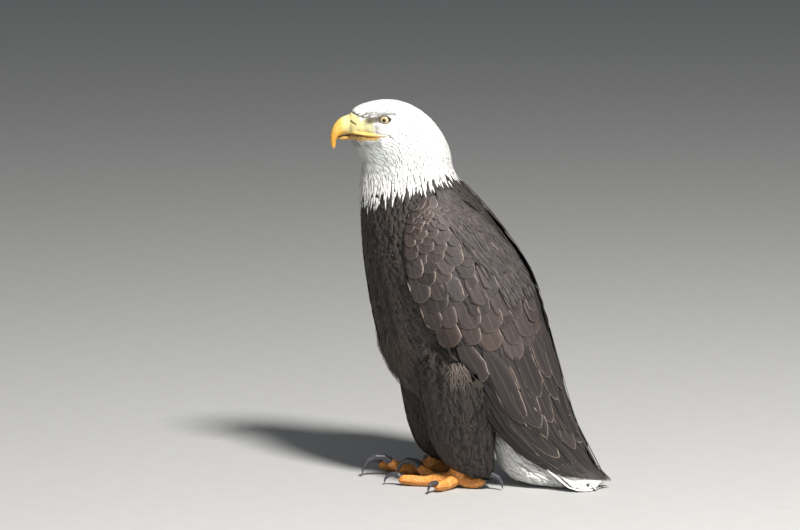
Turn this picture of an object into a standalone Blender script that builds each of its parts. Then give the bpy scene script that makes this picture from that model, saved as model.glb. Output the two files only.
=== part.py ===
"""Bald eagle standing upright with folded wings: the solids, life size.

Units are metres. +Z is up, the bird looks along -Y and its left side is +X. The floor is z = 0, and
the box that holds the whole bird stands centred on the origin.

The trunk, neck and head are one loft, parted by thin cuts. What lies against it (wings, thighs, tail)
is made a little too deep and then cut back by what it lies on, so that the solids meet with a gap.
"""

import math

import bmesh
import bpy
from mathutils import Matrix, Vector
from mathutils.bvhtree import BVHTree

# Driving dimensions.
GAP = 0.0003  # between solids that touch
MERGE = 0.00001  # points nearer than this are one
FLAT = math.radians(1)  # faces that meet at less than this are one
NECK_AXIS_Y = -0.057  # the head turns about this upright line
HEAD_TURN = math.radians(13)  # towards the bird's left
EYE_RADIUS = 0.0100
EYE_HEIGHT = 0.5459
EYE_AHEAD = 0.0440  # of the neck axis
EYE_SPREAD = 0.0252  # from the head's middle plane to an eye's centre
FOOT_SPREAD = 0.044  # from the bird's middle plane to an ankle
LEFT_FOOT_Y = 0.018
RIGHT_FOOT_Y = -0.036
ANKLE_HEIGHT = 0.020
TOE_RADIUS = 0.0091
TOE_SINK = 0.82  # a toe's middle stands this share of its radius over the floor
TOE_TAPER = 0.18  # share of its radius that a toe loses by its end
TOE_ROOT_SWELL = 0.30  # share that it gains where it leaves the foot
TOE_JOINT_SWELL = 0.06  # share that it gains at each joint
TOE_JOINTS = 2.5  # swells along a toe
BODY_SIDES = 20  # corners of a ring round the trunk, neck and head
WING_STEPS = 7  # faces across a wing, from leading to trailing edge
WING_EDGE = 0.006  # how far a wing's back falls, rounded, at its two edges
TAIL_EDGE = 0.0008  # half the tail's thickness at its two sides

# The body in rings, from the vent to the forehead. Each ring stands on a line in the middle plane, from
# a point (y, z) on the belly's outline to one on the back's, and has a half width.
BODY_RINGS = (
    # belly y, z      back y, z      half width
    (0.062, 0.078, 0.126, 0.122, 0.024),
    (0.020, 0.086, 0.139, 0.155, 0.044),
    (-0.032, 0.110, 0.142, 0.196, 0.062),
    (-0.078, 0.148, 0.136, 0.242, 0.077),
    (-0.107, 0.196, 0.124, 0.290, 0.087),
    (-0.1185, 0.244, 0.104, 0.334, 0.092),
    (-0.1275, 0.293, 0.078, 0.371, 0.093),
    (-0.135, 0.345, 0.052, 0.406, 0.089),
    (-0.138, 0.388, 0.028, 0.436, 0.080),
    (-0.140, 0.420, 0.006, 0.458, 0.069),
    (-0.141, 0.444, -0.001, 0.474, 0.061),
    (-0.138, 0.464, -0.003, 0.492, 0.056),
    (-0.136, 0.480, -0.010, 0.512, 0.052),
    (-0.141, 0.493, -0.0215, 0.5315, 0.047),
    (-0.147, 0.503, -0.0375, 0.5498, 0.0425),
    (-0.150, 0.5095, -0.059, 0.5648, 0.0388),
    (-0.1515, 0.5125, -0.083, 0.5730, 0.0360),
    (-0.1525, 0.5135, -0.106, 0.5742, 0.0325),
    (-0.1530, 0.5140, -0.128, 0.5702, 0.0275),
    (-0.1535, 0.5145, -0.145, 0.5632, 0.0215),
    (-0.1540, 0.5155, -0.1525, 0.5565, 0.0165),
)
TRUNK_LAST_RING = 9
NECK_LAST_RING = 13

# The left wing, folded, in rows from the shoulder to the tips. Each row has its leading edge (x, y, z),
# its trailing edge (x, y, z), how far it bulges outwards and how deep it is made before it is cut.
WING_ROWS = (
    (0.070, -0.034, 0.440, 0.046, 0.008, 0.449, 0.006, 0.030),
    (0.093, -0.046, 0.404, 0.036, 0.027, 0.432, 0.020, 0.045),
    (0.103, -0.042, 0.363, 0.027, 0.053, 0.409, 0.028, 0.050),
    (0.106, -0.033, 0.318, 0.022, 0.083, 0.376, 0.032, 0.052),
    (0.105, -0.015, 0.261, 0.018, 0.117, 0.329, 0.034, 0.052),
    (0.100, 0.012, 0.198, 0.013, 0.141, 0.270, 0.033, 0.050),
    (0.090, 0.048, 0.144, 0.009, 0.158, 0.206, 0.029, 0.040),
    (0.076, 0.078, 0.095, 0.006, 0.173, 0.146, 0.023, 0.026),
    (0.062, 0.112, 0.060, 0.004, 0.192, 0.096, 0.017, 0.016),
    (0.049, 0.150, 0.033, 0.003, 0.212, 0.056, 0.011, 0.011),
    (0.038, 0.190, 0.017, 0.003, 0.231, 0.030, 0.006, 0.008),
    (0.028, 0.224, 0.0105, 0.006, 0.246, 0.0165, 0.002, 0.005),
)
ARM_LAST_ROW = 9  # the arm's feathers end here, and the long primaries go on
ARM_TAPER = (0, 0, 0, 0, 0.02, 0.06, 0.16, 0.30, 0.48, 0.68)  # share of the chord left to the primaries
PRIMARIES_FIRST_ROW = 5
PRIMARIES_INSET = 0.006  # the primaries lie this far under the arm's feathers

# The tail, in rows of middle line (y, z), half width, thickness and how far its edges droop.
TAIL_ROWS = (
    (0.092, 0.124, 0.026, 0.022, 0.004),
    (0.116, 0.090, 0.033, 0.018, 0.005),
    (0.148, 0.053, 0.040, 0.012, 0.006),
    (0.176, 0.024, 0.042, 0.009, 0.005),
    (0.202, 0.0030, 0.041, 0.0064, 0.002),
    (0.226, 0.0020, 0.033, 0.0048, 0.0),
)

# The long white feathers under the tail, as belly and back points of rings, with half widths.
UNDERTAIL_ROWS = (
    (0.058, 0.074, 0.112, 0.126, 0.030),
    (0.066, 0.044, 0.128, 0.088, 0.036),
    (0.082, 0.016, 0.146, 0.058, 0.038),
    (0.112, 0.004, 0.164, 0.036, 0.037),
    (0.148, 0.0015, 0.186, 0.016, 0.032),
    (0.176, 0.0015, 0.196, 0.008, 0.022),
)

# A feathered thigh, as front and back points of rings measured from its ankle, with half widths.
THIGH_ROWS = (
    (-0.030, 0.236, 0.044, 0.240, 0.022),
    (-0.056, 0.206, 0.066, 0.212, 0.041),
    (-0.063, 0.178, 0.071, 0.184, 0.047),
    (-0.059, 0.150, 0.069, 0.155, 0.048),
    (-0.052, 0.118, 0.064, 0.122, 0.045),
    (-0.046, 0.088, 0.059, 0.088, 0.040),
    (-0.038, 0.064, 0.057, 0.058, 0.034),
    (-0.028, 0.046, 0.056, 0.028, 0.027),
    (-0.016, 0.033, 0.052, 0.012, 0.020),
)
THIGH_LEAN = 0.012  # the thigh's top stands this much further out than its ankle

# Bill outlines in the head's own middle plane: ahead of the neck axis, height, as pairs of an upper and
# a lower point, with half widths.
UPPER_BILL_RINGS = (
    (0.0870, 0.5530, 0.0870, 0.5225, 0.0160),
    (0.0960, 0.5522, 0.0960, 0.5224, 0.0165),
    (0.1040, 0.5502, 0.1030, 0.5220, 0.0150),
    (0.1110, 0.5465, 0.1080, 0.5206, 0.0132),
    (0.1180, 0.5402, 0.1125, 0.5180, 0.0112),
    (0.1236, 0.5305, 0.1155, 0.5150, 0.0088),
    (0.1263, 0.5192, 0.1173, 0.5115, 0.0064),
    (0.1255, 0.5082, 0.1178, 0.5065, 0.0042),
    (0.1222, 0.4996, 0.1192, 0.5010, 0.0018),
)
LOWER_BILL_RINGS = (
    (0.0870, 0.5222, 0.0870, 0.5140, 0.0130),
    (0.0980, 0.5218, 0.0980, 0.5128, 0.0126),
    (0.1060, 0.5206, 0.1060, 0.5126, 0.0108),
    (0.1115, 0.5186, 0.1110, 0.5136, 0.0082),
    (0.1142, 0.5168, 0.1138, 0.5150, 0.0048),
)
# The fleshy corner of the mouth, which runs back along the head's side: ahead, height and radius.
GAPE_POINTS = (
    (0.1000, 0.5252, 0.0028),
    (0.0860, 0.5256, 0.0032),
    (0.0720, 0.5252, 0.0034),
    (0.0580, 0.5240, 0.0030),
    (0.0390, 0.5242, 0.0016),
)
GAPE_SINK = 0.0016  # its middle line lies this far under the side of the bill and head
# The bony brow over an eye: ahead, height, out from the middle plane, and radius.
BROW_POINTS = (
    (0.0820, 0.5522, 0.0205, 0.0024),
    (0.0680, 0.5560, 0.0278, 0.0034),
    (0.0520, 0.5580, 0.0322, 0.0040),
    (0.0400, 0.5588, 0.0332, 0.0036),
    (0.0290, 0.5562, 0.0325, 0.0018),
)
# The hollow in front of and round an eye: ahead, height, out, and its half length, height and depth.
ORBIT = (0.0540, 0.5474, 0.0392, 0.0200, 0.0082, 0.0082)
ORBIT_TURN = 0.22  # the hollow faces this much forward, in radians

# A toe: name, heading in degrees outwards from straight ahead, length, how far its end is raised, then
# its claw's reach, the height of the claw's arch over a straight line, and its radius.
TOES = (
    ("inner", -24, 0.068, 0.0140, 0.0440, 0.0185, 0.0062),
    ("middle", 4, 0.084, 0.0035, 0.0270, 0.0105, 0.0048),
    ("outer", 64, 0.048, 0.0030, 0.0230, 0.0095, 0.0044),
    ("hind", 172, 0.038, 0.0060, 0.0330, 0.0150, 0.0060),
)
CLAW_TIP_HEIGHT = 0.0015

FINISHES = {
    # name: colour, roughness
    "white_plumage": ((0.86, 0.85, 0.81), 0.80),
    "brown_plumage": ((0.075, 0.055, 0.046), 0.75),
    "dark_plumage": ((0.040, 0.034, 0.032), 0.65),
    "bill_horn": ((0.90, 0.62, 0.10), 0.38),
    "iris": ((0.80, 0.74, 0.42), 0.10),
    "foot_skin": ((0.86, 0.45, 0.08), 0.55),
    "claw_horn": ((0.035, 0.035, 0.040), 0.30),
}


def clear_scene():
    for obj in list(bpy.data.objects):
        bpy.data.objects.remove(obj)


def finish(name):
    """The material of that name, made on first use."""
    material = bpy.data.materials.get(name)
    if material is None:
        colour, roughness = FINISHES[name]
        material = bpy.data.materials.new(name)
        material.use_nodes = True
        shader = material.node_tree.nodes["Principled BSDF"]
        shader.inputs["Base Color"].default_value = (*colour, 1)
        shader.inputs["Roughness"].default_value = roughness
        shader.inputs["Metallic"].default_value = 0
    return material


def between(rows, place):
    """The row at a place along a table, such as 2.5, on a smooth curve through all of them."""
    first = min(int(place), len(rows) - 2)
    t = place - first
    before = rows[max(first - 1, 0)]
    start, end = rows[first], rows[first + 1]
    after = rows[min(first + 2, len(rows) - 1)]
    found = []
    for p, a, b, n in zip(before, start, end, after):
        bend = (2 * p - 5 * a + 4 * b - n) * t * t + (3 * a - p - 3 * b + n) * t**3
        found.append(0.5 * (2 * a + (b - p) * t + bend))
    return found


def places(first, last, steps):
    return [first + (last - first) * i / steps for i in range(steps + 1)]


def new_object(name, bm, material):
    """A closed mesh object from bm, with its faces turned outwards."""
    bmesh.ops.triangulate(bm, faces=bm.faces)
    bmesh.ops.recalc_face_normals(bm, faces=bm.faces)
    mesh = bpy.data.meshes.new(name)
    bm.to_mesh(mesh)
    bm.free()
    mesh.materials.append(finish(material))
    mesh.shade_smooth()
    obj = bpy.data.objects.new(name, mesh)
    bpy.context.scene.collection.objects.link(obj)
    return obj


def loft(name, rings, material):
    """A closed solid through rings of points, with a flat face at either end."""
    bm = bmesh.new()
    loops = [[bm.verts.new(point) for point in ring] for ring in rings]
    for lower, upper in zip(loops, loops[1:]):
        for i in range(len(lower)):
            j = (i + 1) % len(lower)
            bm.faces.new((lower[i], lower[j], upper[j], upper[i]))
    bm.faces.new(loops[0])
    bm.faces.new(loops[-1])
    return new_object(name, bm, material)


def oval(low, high, half_width, sides, middle_x=0.0, fullness=1.0):
    """A ring that stands on the line from low to high, both (y, z), and is half_width wide to each side.
    A fullness under 1 squares it a little."""
    ring = []
    for i in range(sides):
        angle = 2 * math.pi * i / sides
        along = math.copysign(abs(math.cos(angle)) ** fullness, math.cos(angle))
        across = math.copysign(abs(math.sin(angle)) ** fullness, math.sin(angle))
        y = (low[0] + high[0]) / 2 + (high[0] - low[0]) / 2 * along
        z = (low[1] + high[1]) / 2 + (high[1] - low[1]) / 2 * along
        ring.append(Vector((middle_x + half_width * across, y, z)))
    return ring


def head_turn(share=1.0):
    """The turn of the head, or a share of it, as a matrix."""
    pivot = Matrix.Translation((0, NECK_AXIS_Y, 0))
    return pivot @ Matrix.Rotation(HEAD_TURN * share, 4, "Z") @ pivot.inverted()


def tube(name, centres, radii, material, sides=10):
    """A closed tube round a line of centres, with a radius at each."""
    rings = []
    for i, centre in enumerate(centres):
        along = centres[min(i + 1, len(centres) - 1)] - centres[max(i - 1, 0)]
        side = along.cross(Vector((0, 0, 1)))
        if side.length < 1e-6:
            side = Vector((1, 0, 0))
        side.normalize()
        rise = side.cross(along).normalized()
        turns = [2 * math.pi * k / sides for k in range(sides)]
        rings.append([centre + (side * math.cos(a) + rise * math.sin(a)) * radii[i] for a in turns])
    return loft(name, rings, material)


def mirrored(obj, name):
    """The same solid on the bird's other side, as its own object."""
    bm = bmesh.new()
    bm.from_mesh(obj.data)
    bmesh.ops.scale(bm, vec=(-1, 1, 1), verts=bm.verts)
    return new_object(name, bm, obj.data.materials[0].name)


def swollen(obj, by):
    """A hidden copy of obj that stands out from it all round."""
    copy = bpy.data.objects.new(obj.name + "_cutter", obj.data.copy())
    bpy.context.scene.collection.objects.link(copy)
    copy.hide_render = True
    copy.display_type = "WIRE"
    swell = copy.modifiers.new("swell", "DISPLACE")
    swell.strength = by
    swell.mid_level = 0
    return copy


def combine(obj, others, operation, gap=0.0):
    """Joins others to obj, or cuts them from it with a gap, and keeps the one largest piece."""
    helpers = [swollen(other, gap) for other in others]
    for helper in helpers:
        boolean = obj.modifiers.new(operation.lower(), "BOOLEAN")
        boolean.operation = operation
        boolean.solver = "EXACT"
        boolean.object = helper
    bpy.context.view_layer.update()
    graph = bpy.context.evaluated_depsgraph_get()
    mesh = bpy.data.meshes.new_from_object(obj.evaluated_get(graph))
    obj.modifiers.clear()
    obj.data = mesh
    for helper in helpers:
        bpy.data.objects.remove(helper)
    keep_largest_piece(obj)
    return obj


def keep_largest_piece(obj):
    """Deletes the crumbs that a cut leaves beside the solid."""
    bm = bmesh.new()
    bm.from_mesh(obj.data)
    bmesh.ops.remove_doubles(bm, verts=bm.verts, dist=MERGE)
    bmesh.ops.dissolve_degenerate(bm, edges=bm.edges, dist=MERGE)
    left = set(bm.faces)
    pieces = []
    while left:
        todo = [left.pop()]
        piece = list(todo)
        while todo:
            for edge in todo.pop().edges:
                for face in edge.link_faces:
                    if face in left:
                        left.remove(face)
                        piece.append(face)
                        todo.append(face)
        pieces.append(piece)
    pieces.sort(key=lambda piece: sum(face.calc_area() for face in piece))
    for piece in pieces[:-1]:
        bmesh.ops.delete(bm, geom=piece, context="FACES")
    bmesh.ops.dissolve_limit(bm, angle_limit=FLAT, verts=bm.verts, edges=bm.edges)
    bmesh.ops.triangulate(bm, faces=bm.faces)
    bm.to_mesh(obj.data)
    bm.free()


def body_ring(place):
    """The body's ring at a place along its table. The neck twists towards the head's turn."""
    low_y, low_z, high_y, high_z, half_width = between(BODY_RINGS, place)
    start, end = TRUNK_LAST_RING, NECK_LAST_RING + 1
    share = min(max((place - start) / (end - start), 0), 1)
    share = share * share * (3 - 2 * share)
    turn = head_turn(share)
    ring = oval((low_y, low_z), (high_y, high_z), half_width, BODY_SIDES, fullness=0.94)
    return [turn @ point for point in ring]


def make_body():
    """Trunk, neck and head, parted where a person would name them."""
    last = len(BODY_RINGS) - 1
    spans = (
        # name, first and last place along the table, steps between them
        ("trunk", 0, TRUNK_LAST_RING, 13, "brown_plumage"),
        ("neck", TRUNK_LAST_RING, NECK_LAST_RING, 6, "white_plumage"),
        ("head", NECK_LAST_RING, last, 9, "white_plumage"),
    )
    made = {}
    for name, first, end, steps, material in spans:
        rings = [body_ring(place) for place in places(first, end, steps)]
        if name != "trunk":
            nearest = rings[1]
            rings[0] = [p + (q - p).normalized() * 2 * GAP for p, q in zip(rings[0], nearest)]
        made[name] = loft(name, rings, material)
    return made


def make_gape(side, solids):
    """One corner of the mouth, as a ridge along the side of the bill and the head."""
    turn = head_turn()
    inwards = turn.to_3x3() @ Vector((-side, 0, 0))
    surfaces = []
    for solid in solids:
        corners = [vert.co for vert in solid.data.vertices]
        surfaces.append(BVHTree.FromPolygons(corners, [face.vertices for face in solid.data.polygons]))
    centres, radii = [], []
    for place in places(0, len(GAPE_POINTS) - 1, 5):
        ahead, height, radius = between(GAPE_POINTS, place)
        start = turn @ Vector((side * 0.1, NECK_AXIS_Y - ahead, height))
        reach = min(surface.ray_cast(start, inwards)[3] or 1 for surface in surfaces)
        centres.append(start + inwards * (reach + GAPE_SINK))
        radii.append(radius)
    return tube("gape", centres, radii, "bill_horn", sides=6)


def make_bill(head):
    """The upper bill with its hook, the lower bill, and the two corners of the mouth."""
    turn = head_turn()

    def bill_ring(row):
        top_ahead, top_z, low_ahead, low_z, half_width = row
        high = (NECK_AXIS_Y - top_ahead, top_z)
        low = (NECK_AXIS_Y - low_ahead, low_z)
        return [turn @ p for p in oval(low, high, half_width, 12, fullness=0.9)]

    upper_places = places(0, len(UPPER_BILL_RINGS) - 1, 11)
    upper = loft("upper_bill", [bill_ring(between(UPPER_BILL_RINGS, p)) for p in upper_places], "bill_horn")
    lower_places = places(0, len(LOWER_BILL_RINGS) - 1, 5)
    lower = loft("lower_bill", [bill_ring(between(LOWER_BILL_RINGS, p)) for p in lower_places], "bill_horn")
    corners = [make_gape(side, (upper, head)) for side in (1, -1)]
    combine(lower, [upper, *corners], "DIFFERENCE", GAP)
    return upper, lower, corners


def make_eyes():
    eyes = []
    for name, side in (("eye_left", 1), ("eye_right", -1)):
        bm = bmesh.new()
        bmesh.ops.create_icosphere(bm, subdivisions=2, radius=EYE_RADIUS)
        centre = Vector((side * EYE_SPREAD, NECK_AXIS_Y - EYE_AHEAD, EYE_HEIGHT))
        bmesh.ops.translate(bm, vec=head_turn() @ centre, verts=bm.verts)
        eyes.append(new_object(name, bm, "iris"))
    return eyes


def join_corners(upper_bill, corners):
    """Makes the corners of the mouth one solid with the upper bill."""
    combine(upper_bill, corners, "UNION")
    for corner in corners:
        bpy.data.objects.remove(corner)


def add_brows(head):
    """The bony ridges that overhang the eyes."""
    brows = []
    for side in (1, -1):
        rows = [between(BROW_POINTS, place) for place in places(0, len(BROW_POINTS) - 1, 6)]
        centres = [head_turn() @ Vector((side * row[2], NECK_AXIS_Y - row[0], row[1])) for row in rows]
        brows.append(tube("brow", centres, [row[3] for row in rows], "white_plumage", sides=8))
    combine(head, brows, "UNION")
    for brow in brows:
        bpy.data.objects.remove(brow)


def cut_orbits(head):
    """The hollows under the brows, in which the eyes sit."""
    ahead, height, out, half_length, half_height, depth = ORBIT
    hollows = []
    for side in (1, -1):
        bm = bmesh.new()
        bmesh.ops.create_icosphere(bm, subdivisions=2, radius=1)
        bmesh.ops.scale(bm, vec=(depth, half_length, half_height), verts=bm.verts)
        centre = Vector((side * out, NECK_AXIS_Y - ahead, height))
        facing = Matrix.Rotation(side * ORBIT_TURN, 3, "Z")
        bmesh.ops.rotate(bm, cent=(0, 0, 0), matrix=facing, verts=bm.verts)
        bmesh.ops.translate(bm, vec=centre, verts=bm.verts)
        bmesh.ops.transform(bm, matrix=head_turn(), verts=bm.verts)
        hollows.append(new_object("orbit", bm, "white_plumage"))
    combine(head, hollows, "DIFFERENCE")
    for hollow in hollows:
        bpy.data.objects.remove(hollow)


def wing_ring(place, start=0.0, inset=0.0, depth_share=1.0):
    """A ring round the left wing: out along its bulging back, in along its deep underside."""
    row = between(WING_ROWS, place)
    lead, trail = Vector(row[0:3]), Vector(row[3:6])
    bulge, depth = row[6], row[7] * depth_share
    ahead = between(WING_ROWS, min(place + 0.3, len(WING_ROWS) - 1))
    behind = between(WING_ROWS, max(place - 0.3, 0))
    along = Vector(ahead[0:3]) + Vector(ahead[3:6]) - Vector(behind[0:3]) - Vector(behind[3:6])
    chord = trail - lead
    out = chord.cross(along).normalized()
    if out.x < 0:
        out.negate()
    outer, inner = [], []
    for i in range(WING_STEPS + 1):
        s = start + (1 - start) * i / WING_STEPS
        u = i / WING_STEPS
        edge = (4 * u * (1 - u)) ** 0.45
        back = lead + chord * s + out * (bulge * 4 * s * (1 - s) - inset)
        outer.append(back + out * WING_EDGE * (edge - 1))
        inner.append(back - out * (WING_EDGE + (depth - WING_EDGE) * edge))
    ring = outer + inner[::-1]
    return [Vector((max(p.x, GAP), p.y, max(p.z, GAP))) for p in ring]


def make_wings(trunk):
    """Each wing as the arm with its feathers, and the long primaries that come out under them."""
    tapers = [(share,) for share in ARM_TAPER]
    arm_rings = []
    for place in places(0, ARM_LAST_ROW, 13):
        (start,) = between(tapers, place)
        arm_rings.append(wing_ring(place, max(start, 0)))
    arm = loft("wing_left", arm_rings, "brown_plumage")
    last = len(WING_ROWS) - 1
    primaries_rings = []
    for place in places(PRIMARIES_FIRST_ROW, last, 9):
        fade = 1 - 0.5 * max(place - ARM_LAST_ROW, 0) / (last - ARM_LAST_ROW)
        primaries_rings.append(wing_ring(place, 0, PRIMARIES_INSET * fade, 0.9))
    primaries = loft("primaries_left", primaries_rings, "dark_plumage")
    combine(arm, [trunk], "DIFFERENCE", GAP)
    combine(primaries, [trunk, arm], "DIFFERENCE", GAP)
    return [
        arm,
        primaries,
        mirrored(arm, "wing_right"),
        mirrored(primaries, "primaries_right"),
    ]


def make_tail(neighbours):
    """The tail, laid on the floor at its end, as one slab that droops at its edges."""
    steps = 6
    rings = []
    for place in places(0, len(TAIL_ROWS) - 1, 8):
        y, z, half_width, thickness, droop = between(TAIL_ROWS, place)
        after = between(TAIL_ROWS, min(place + 0.2, len(TAIL_ROWS) - 1))
        before = between(TAIL_ROWS, max(place - 0.2, 0))
        along = Vector((0, after[0] - before[0], after[1] - before[1])).normalized()
        up = Vector((1, 0, 0)).cross(along)
        upper, lower = [], []
        for i in range(steps + 1):
            across = 2 * i / steps - 1
            edge = (1 - across * across) ** 0.3
            middle = Vector((half_width * across, y, z)) - up * droop * across * across
            half = TAIL_EDGE + (thickness / 2 - TAIL_EDGE) * edge
            upper.append(middle + up * half)
            lower.append(middle - up * half)
        ring = upper + lower[::-1]
        rings.append([Vector((p.x, p.y, max(p.z, 0))) for p in ring])
    tail = loft("tail", rings, "white_plumage")
    return combine(tail, neighbours, "DIFFERENCE", GAP)


def make_undertail(neighbours):
    rings = []
    for place in places(0, len(UNDERTAIL_ROWS) - 1, 6):
        low_y, low_z, high_y, high_z, half_width = between(UNDERTAIL_ROWS, place)
        ring = oval((low_y, low_z), (high_y, high_z), half_width, 14)
        rings.append([Vector((p.x, p.y, max(p.z, 0))) for p in ring])
    undertail = loft("undertail", rings, "white_plumage")
    return combine(undertail, neighbours, "DIFFERENCE", GAP)


def make_thigh(name, side, foot_y, neighbours):
    rings = []
    for place in places(0, len(THIGH_ROWS) - 1, 9):
        front_y, front_z, back_y, back_z, half_width = between(THIGH_ROWS, place)
        middle_x = side * (FOOT_SPREAD + THIGH_LEAN * (front_z - 0.023) / 0.19)
        low, high = (foot_y + front_y, front_z), (foot_y + back_y, back_z)
        rings.append(oval(low, high, half_width, 14, middle_x=middle_x))
    thigh = loft(name, rings, "brown_plumage")
    return combine(thigh, neighbours, "DIFFERENCE", GAP)


def toe_line(ankle, heading, length, rise):
    """Centres and radii of a toe, low along the floor, with its joints a little thicker."""
    centres, radii = [], []
    steps = 5
    for i in range(steps + 1):
        t = i / steps
        radius = TOE_RADIUS * (1 - TOE_TAPER * t + TOE_ROOT_SWELL * (1 - t) ** 3)
        radius *= 1 + TOE_JOINT_SWELL * math.cos(2 * math.pi * TOE_JOINTS * t)
        height = radius * TOE_SINK + rise * t**4 + (ANKLE_HEIGHT - TOE_RADIUS * 1.3) * (1 - t) ** 3
        centres.append(Vector((ankle.x, ankle.y, height)) + heading * length * t)
        radii.append(radius)
    centres.append(centres[-1] + heading * TOE_RADIUS * 0.5)
    radii.append(TOE_RADIUS * 0.45)
    return centres, radii


def make_claw(name, root, heading, reach, arch, thickness):
    """A claw: a tapering arc from its root to a point that just clears the floor."""
    steps = 5
    tip = root + heading * reach
    tip.z = CLAW_TIP_HEIGHT
    chord = tip - root
    half = chord.length / 2
    along = chord.normalized()
    out = along.cross(heading.cross(Vector((0, 0, 1)))).normalized()
    if out.z < 0:
        out.negate()
    bend_radius = (half * half + arch * arch) / (2 * arch)
    centre = (root + tip) / 2 + out * (arch - bend_radius)
    half_angle = math.atan2(half, bend_radius - arch)
    centres, radii = [], []
    for i in range(steps + 1):
        t = i / steps
        angle = half_angle * (2 * t - 1)
        centres.append(centre + (out * math.cos(angle) + along * math.sin(angle)) * bend_radius)
        radii.append(thickness * (1 - t) ** 0.7 + 0.0004)
    return tube(name, centres, radii, "claw_horn", sides=7)


def make_foot(side_name, side, foot_y, thigh):
    """The bare leg and toes as one solid, flat where it stands, and the four claws."""
    ankle = Vector((side * FOOT_SPREAD, foot_y, ANKLE_HEIGHT))
    shank_rows = (
        (0.000, -0.007, 0.0090),
        (0.000, 0.000, 0.0130),
        (0.004, 0.020, 0.0112),
        (0.008, 0.048, 0.0112),
    )
    shank = [ankle + Vector((0, back, up)) for back, up, _ in shank_rows]
    foot = tube("foot_" + side_name, shank, [row[2] for row in shank_rows], "foot_skin", sides=12)
    toes, claws = [], []
    for toe_name, degrees, length, rise, reach, arch, thickness in TOES:
        angle = math.radians(degrees) * side
        heading = Vector((math.sin(angle), -math.cos(angle), 0))
        centres, radii = toe_line(ankle, heading, length, rise)
        toes.append(tube("toe", centres, radii, "foot_skin", sides=8))
        root = centres[-2] + Vector((0, 0, radii[-2] * 0.35))
        claws.append(make_claw(f"claw_{side_name}_{toe_name}", root, heading, reach, arch, thickness))
    combine(foot, toes, "UNION")
    for toe in toes:
        bpy.data.objects.remove(toe)
    bm = bmesh.new()
    bmesh.ops.create_cube(bm, size=0.5)
    bmesh.ops.translate(bm, vec=(0, 0, -0.25), verts=bm.verts)
    floor = new_object("floor", bm, "foot_skin")
    combine(foot, [floor], "DIFFERENCE")
    bpy.data.objects.remove(floor)
    combine(foot, [thigh], "DIFFERENCE", GAP)
    for claw in claws:
        combine(claw, [foot, thigh], "DIFFERENCE", GAP)


def stand_on_origin(objects):
    """Moves the whole bird so that the middle of its box's underside is the origin."""
    points = [vert.co for obj in objects for vert in obj.data.vertices]
    low = Vector(min(p[axis] for p in points) for axis in range(3))
    high = Vector(max(p[axis] for p in points) for axis in range(3))
    shift = Matrix.Translation((-(low.x + high.x) / 2, -(low.y + high.y) / 2, -low.z))
    for obj in objects:
        obj.data.transform(shift)


def main():
    clear_scene()
    body = make_body()
    trunk = body["trunk"]
    upper_bill, lower_bill, corners = make_bill(body["head"])
    eyes = make_eyes()
    add_brows(body["head"])
    cut_orbits(body["head"])
    combine(body["head"], [upper_bill, lower_bill, *corners, *eyes], "DIFFERENCE", GAP)
    join_corners(upper_bill, corners)
    wings = make_wings(trunk)
    thighs = [
        make_thigh("thigh_left", 1, LEFT_FOOT_Y, [trunk, *wings]),
        make_thigh("thigh_right", -1, RIGHT_FOOT_Y, [trunk, *wings]),
    ]
    tail = make_tail([trunk, *wings, *thighs])
    make_undertail([trunk, *wings, *thighs, tail])
    make_foot("left", 1, LEFT_FOOT_Y, thighs[0])
    make_foot("right", -1, RIGHT_FOOT_Y, thighs[1])
    stand_on_origin([obj for obj in bpy.data.objects if obj.type == "MESH"])


if __name__ == "__main__":
    main()
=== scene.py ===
"""Bald eagle, life size: the looks, built round the solids of the bird.

Run as a script. Every piece is in metres, in the frame of the solids: +Z up, the bird looks along -Y
and its left side is +X.
"""

import math

import bpy
import numpy as np
from bpy.props import FloatProperty, FloatVectorProperty, PointerProperty
from mathutils import Matrix, Vector
from mathutils.bvhtree import BVHTree
from mathutils.noise import voronoi


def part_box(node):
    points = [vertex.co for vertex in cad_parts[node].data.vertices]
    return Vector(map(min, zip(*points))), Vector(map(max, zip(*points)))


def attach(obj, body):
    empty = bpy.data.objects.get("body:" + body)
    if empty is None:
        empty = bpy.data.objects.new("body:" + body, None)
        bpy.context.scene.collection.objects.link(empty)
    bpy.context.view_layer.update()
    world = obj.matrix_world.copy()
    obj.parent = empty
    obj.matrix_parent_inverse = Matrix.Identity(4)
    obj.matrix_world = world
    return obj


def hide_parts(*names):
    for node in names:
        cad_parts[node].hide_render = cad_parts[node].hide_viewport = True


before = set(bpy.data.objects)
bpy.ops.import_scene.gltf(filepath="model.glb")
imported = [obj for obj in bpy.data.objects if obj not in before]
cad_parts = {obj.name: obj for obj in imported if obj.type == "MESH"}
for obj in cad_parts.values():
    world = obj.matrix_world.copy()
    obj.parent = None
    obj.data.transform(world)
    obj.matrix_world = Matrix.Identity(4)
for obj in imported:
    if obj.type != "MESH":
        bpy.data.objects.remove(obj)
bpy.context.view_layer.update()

bl_info = {
    "name": "Bald Eagle",
    "version": (1, 0, 0),
    "blender": (4, 5, 0),
    "location": "View3D > Sidebar > Eagle",
    "description": "Builds the skin, plumage, bill, eyes and feet of a life-size bald eagle",
    "category": "Object",
}


def middle(node):
    low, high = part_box(node)
    return (low + high) / 2


# The middle between the eyes, and the same point in the drawing that the solids were made from. SHIFT
# takes a place from that drawing to this frame.
EYES = (middle("eye_left") + middle("eye_right")) / 2
DRAWN_EYES = Vector((0.0099, -0.0999, 0.5459))
SHIFT = Vector((0, EYES.y - DRAWN_EYES.y, 0))
HEAD_TURN = math.radians(13)
NECK_AXIS = Vector((0, -0.057, 0)) + SHIFT

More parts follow.
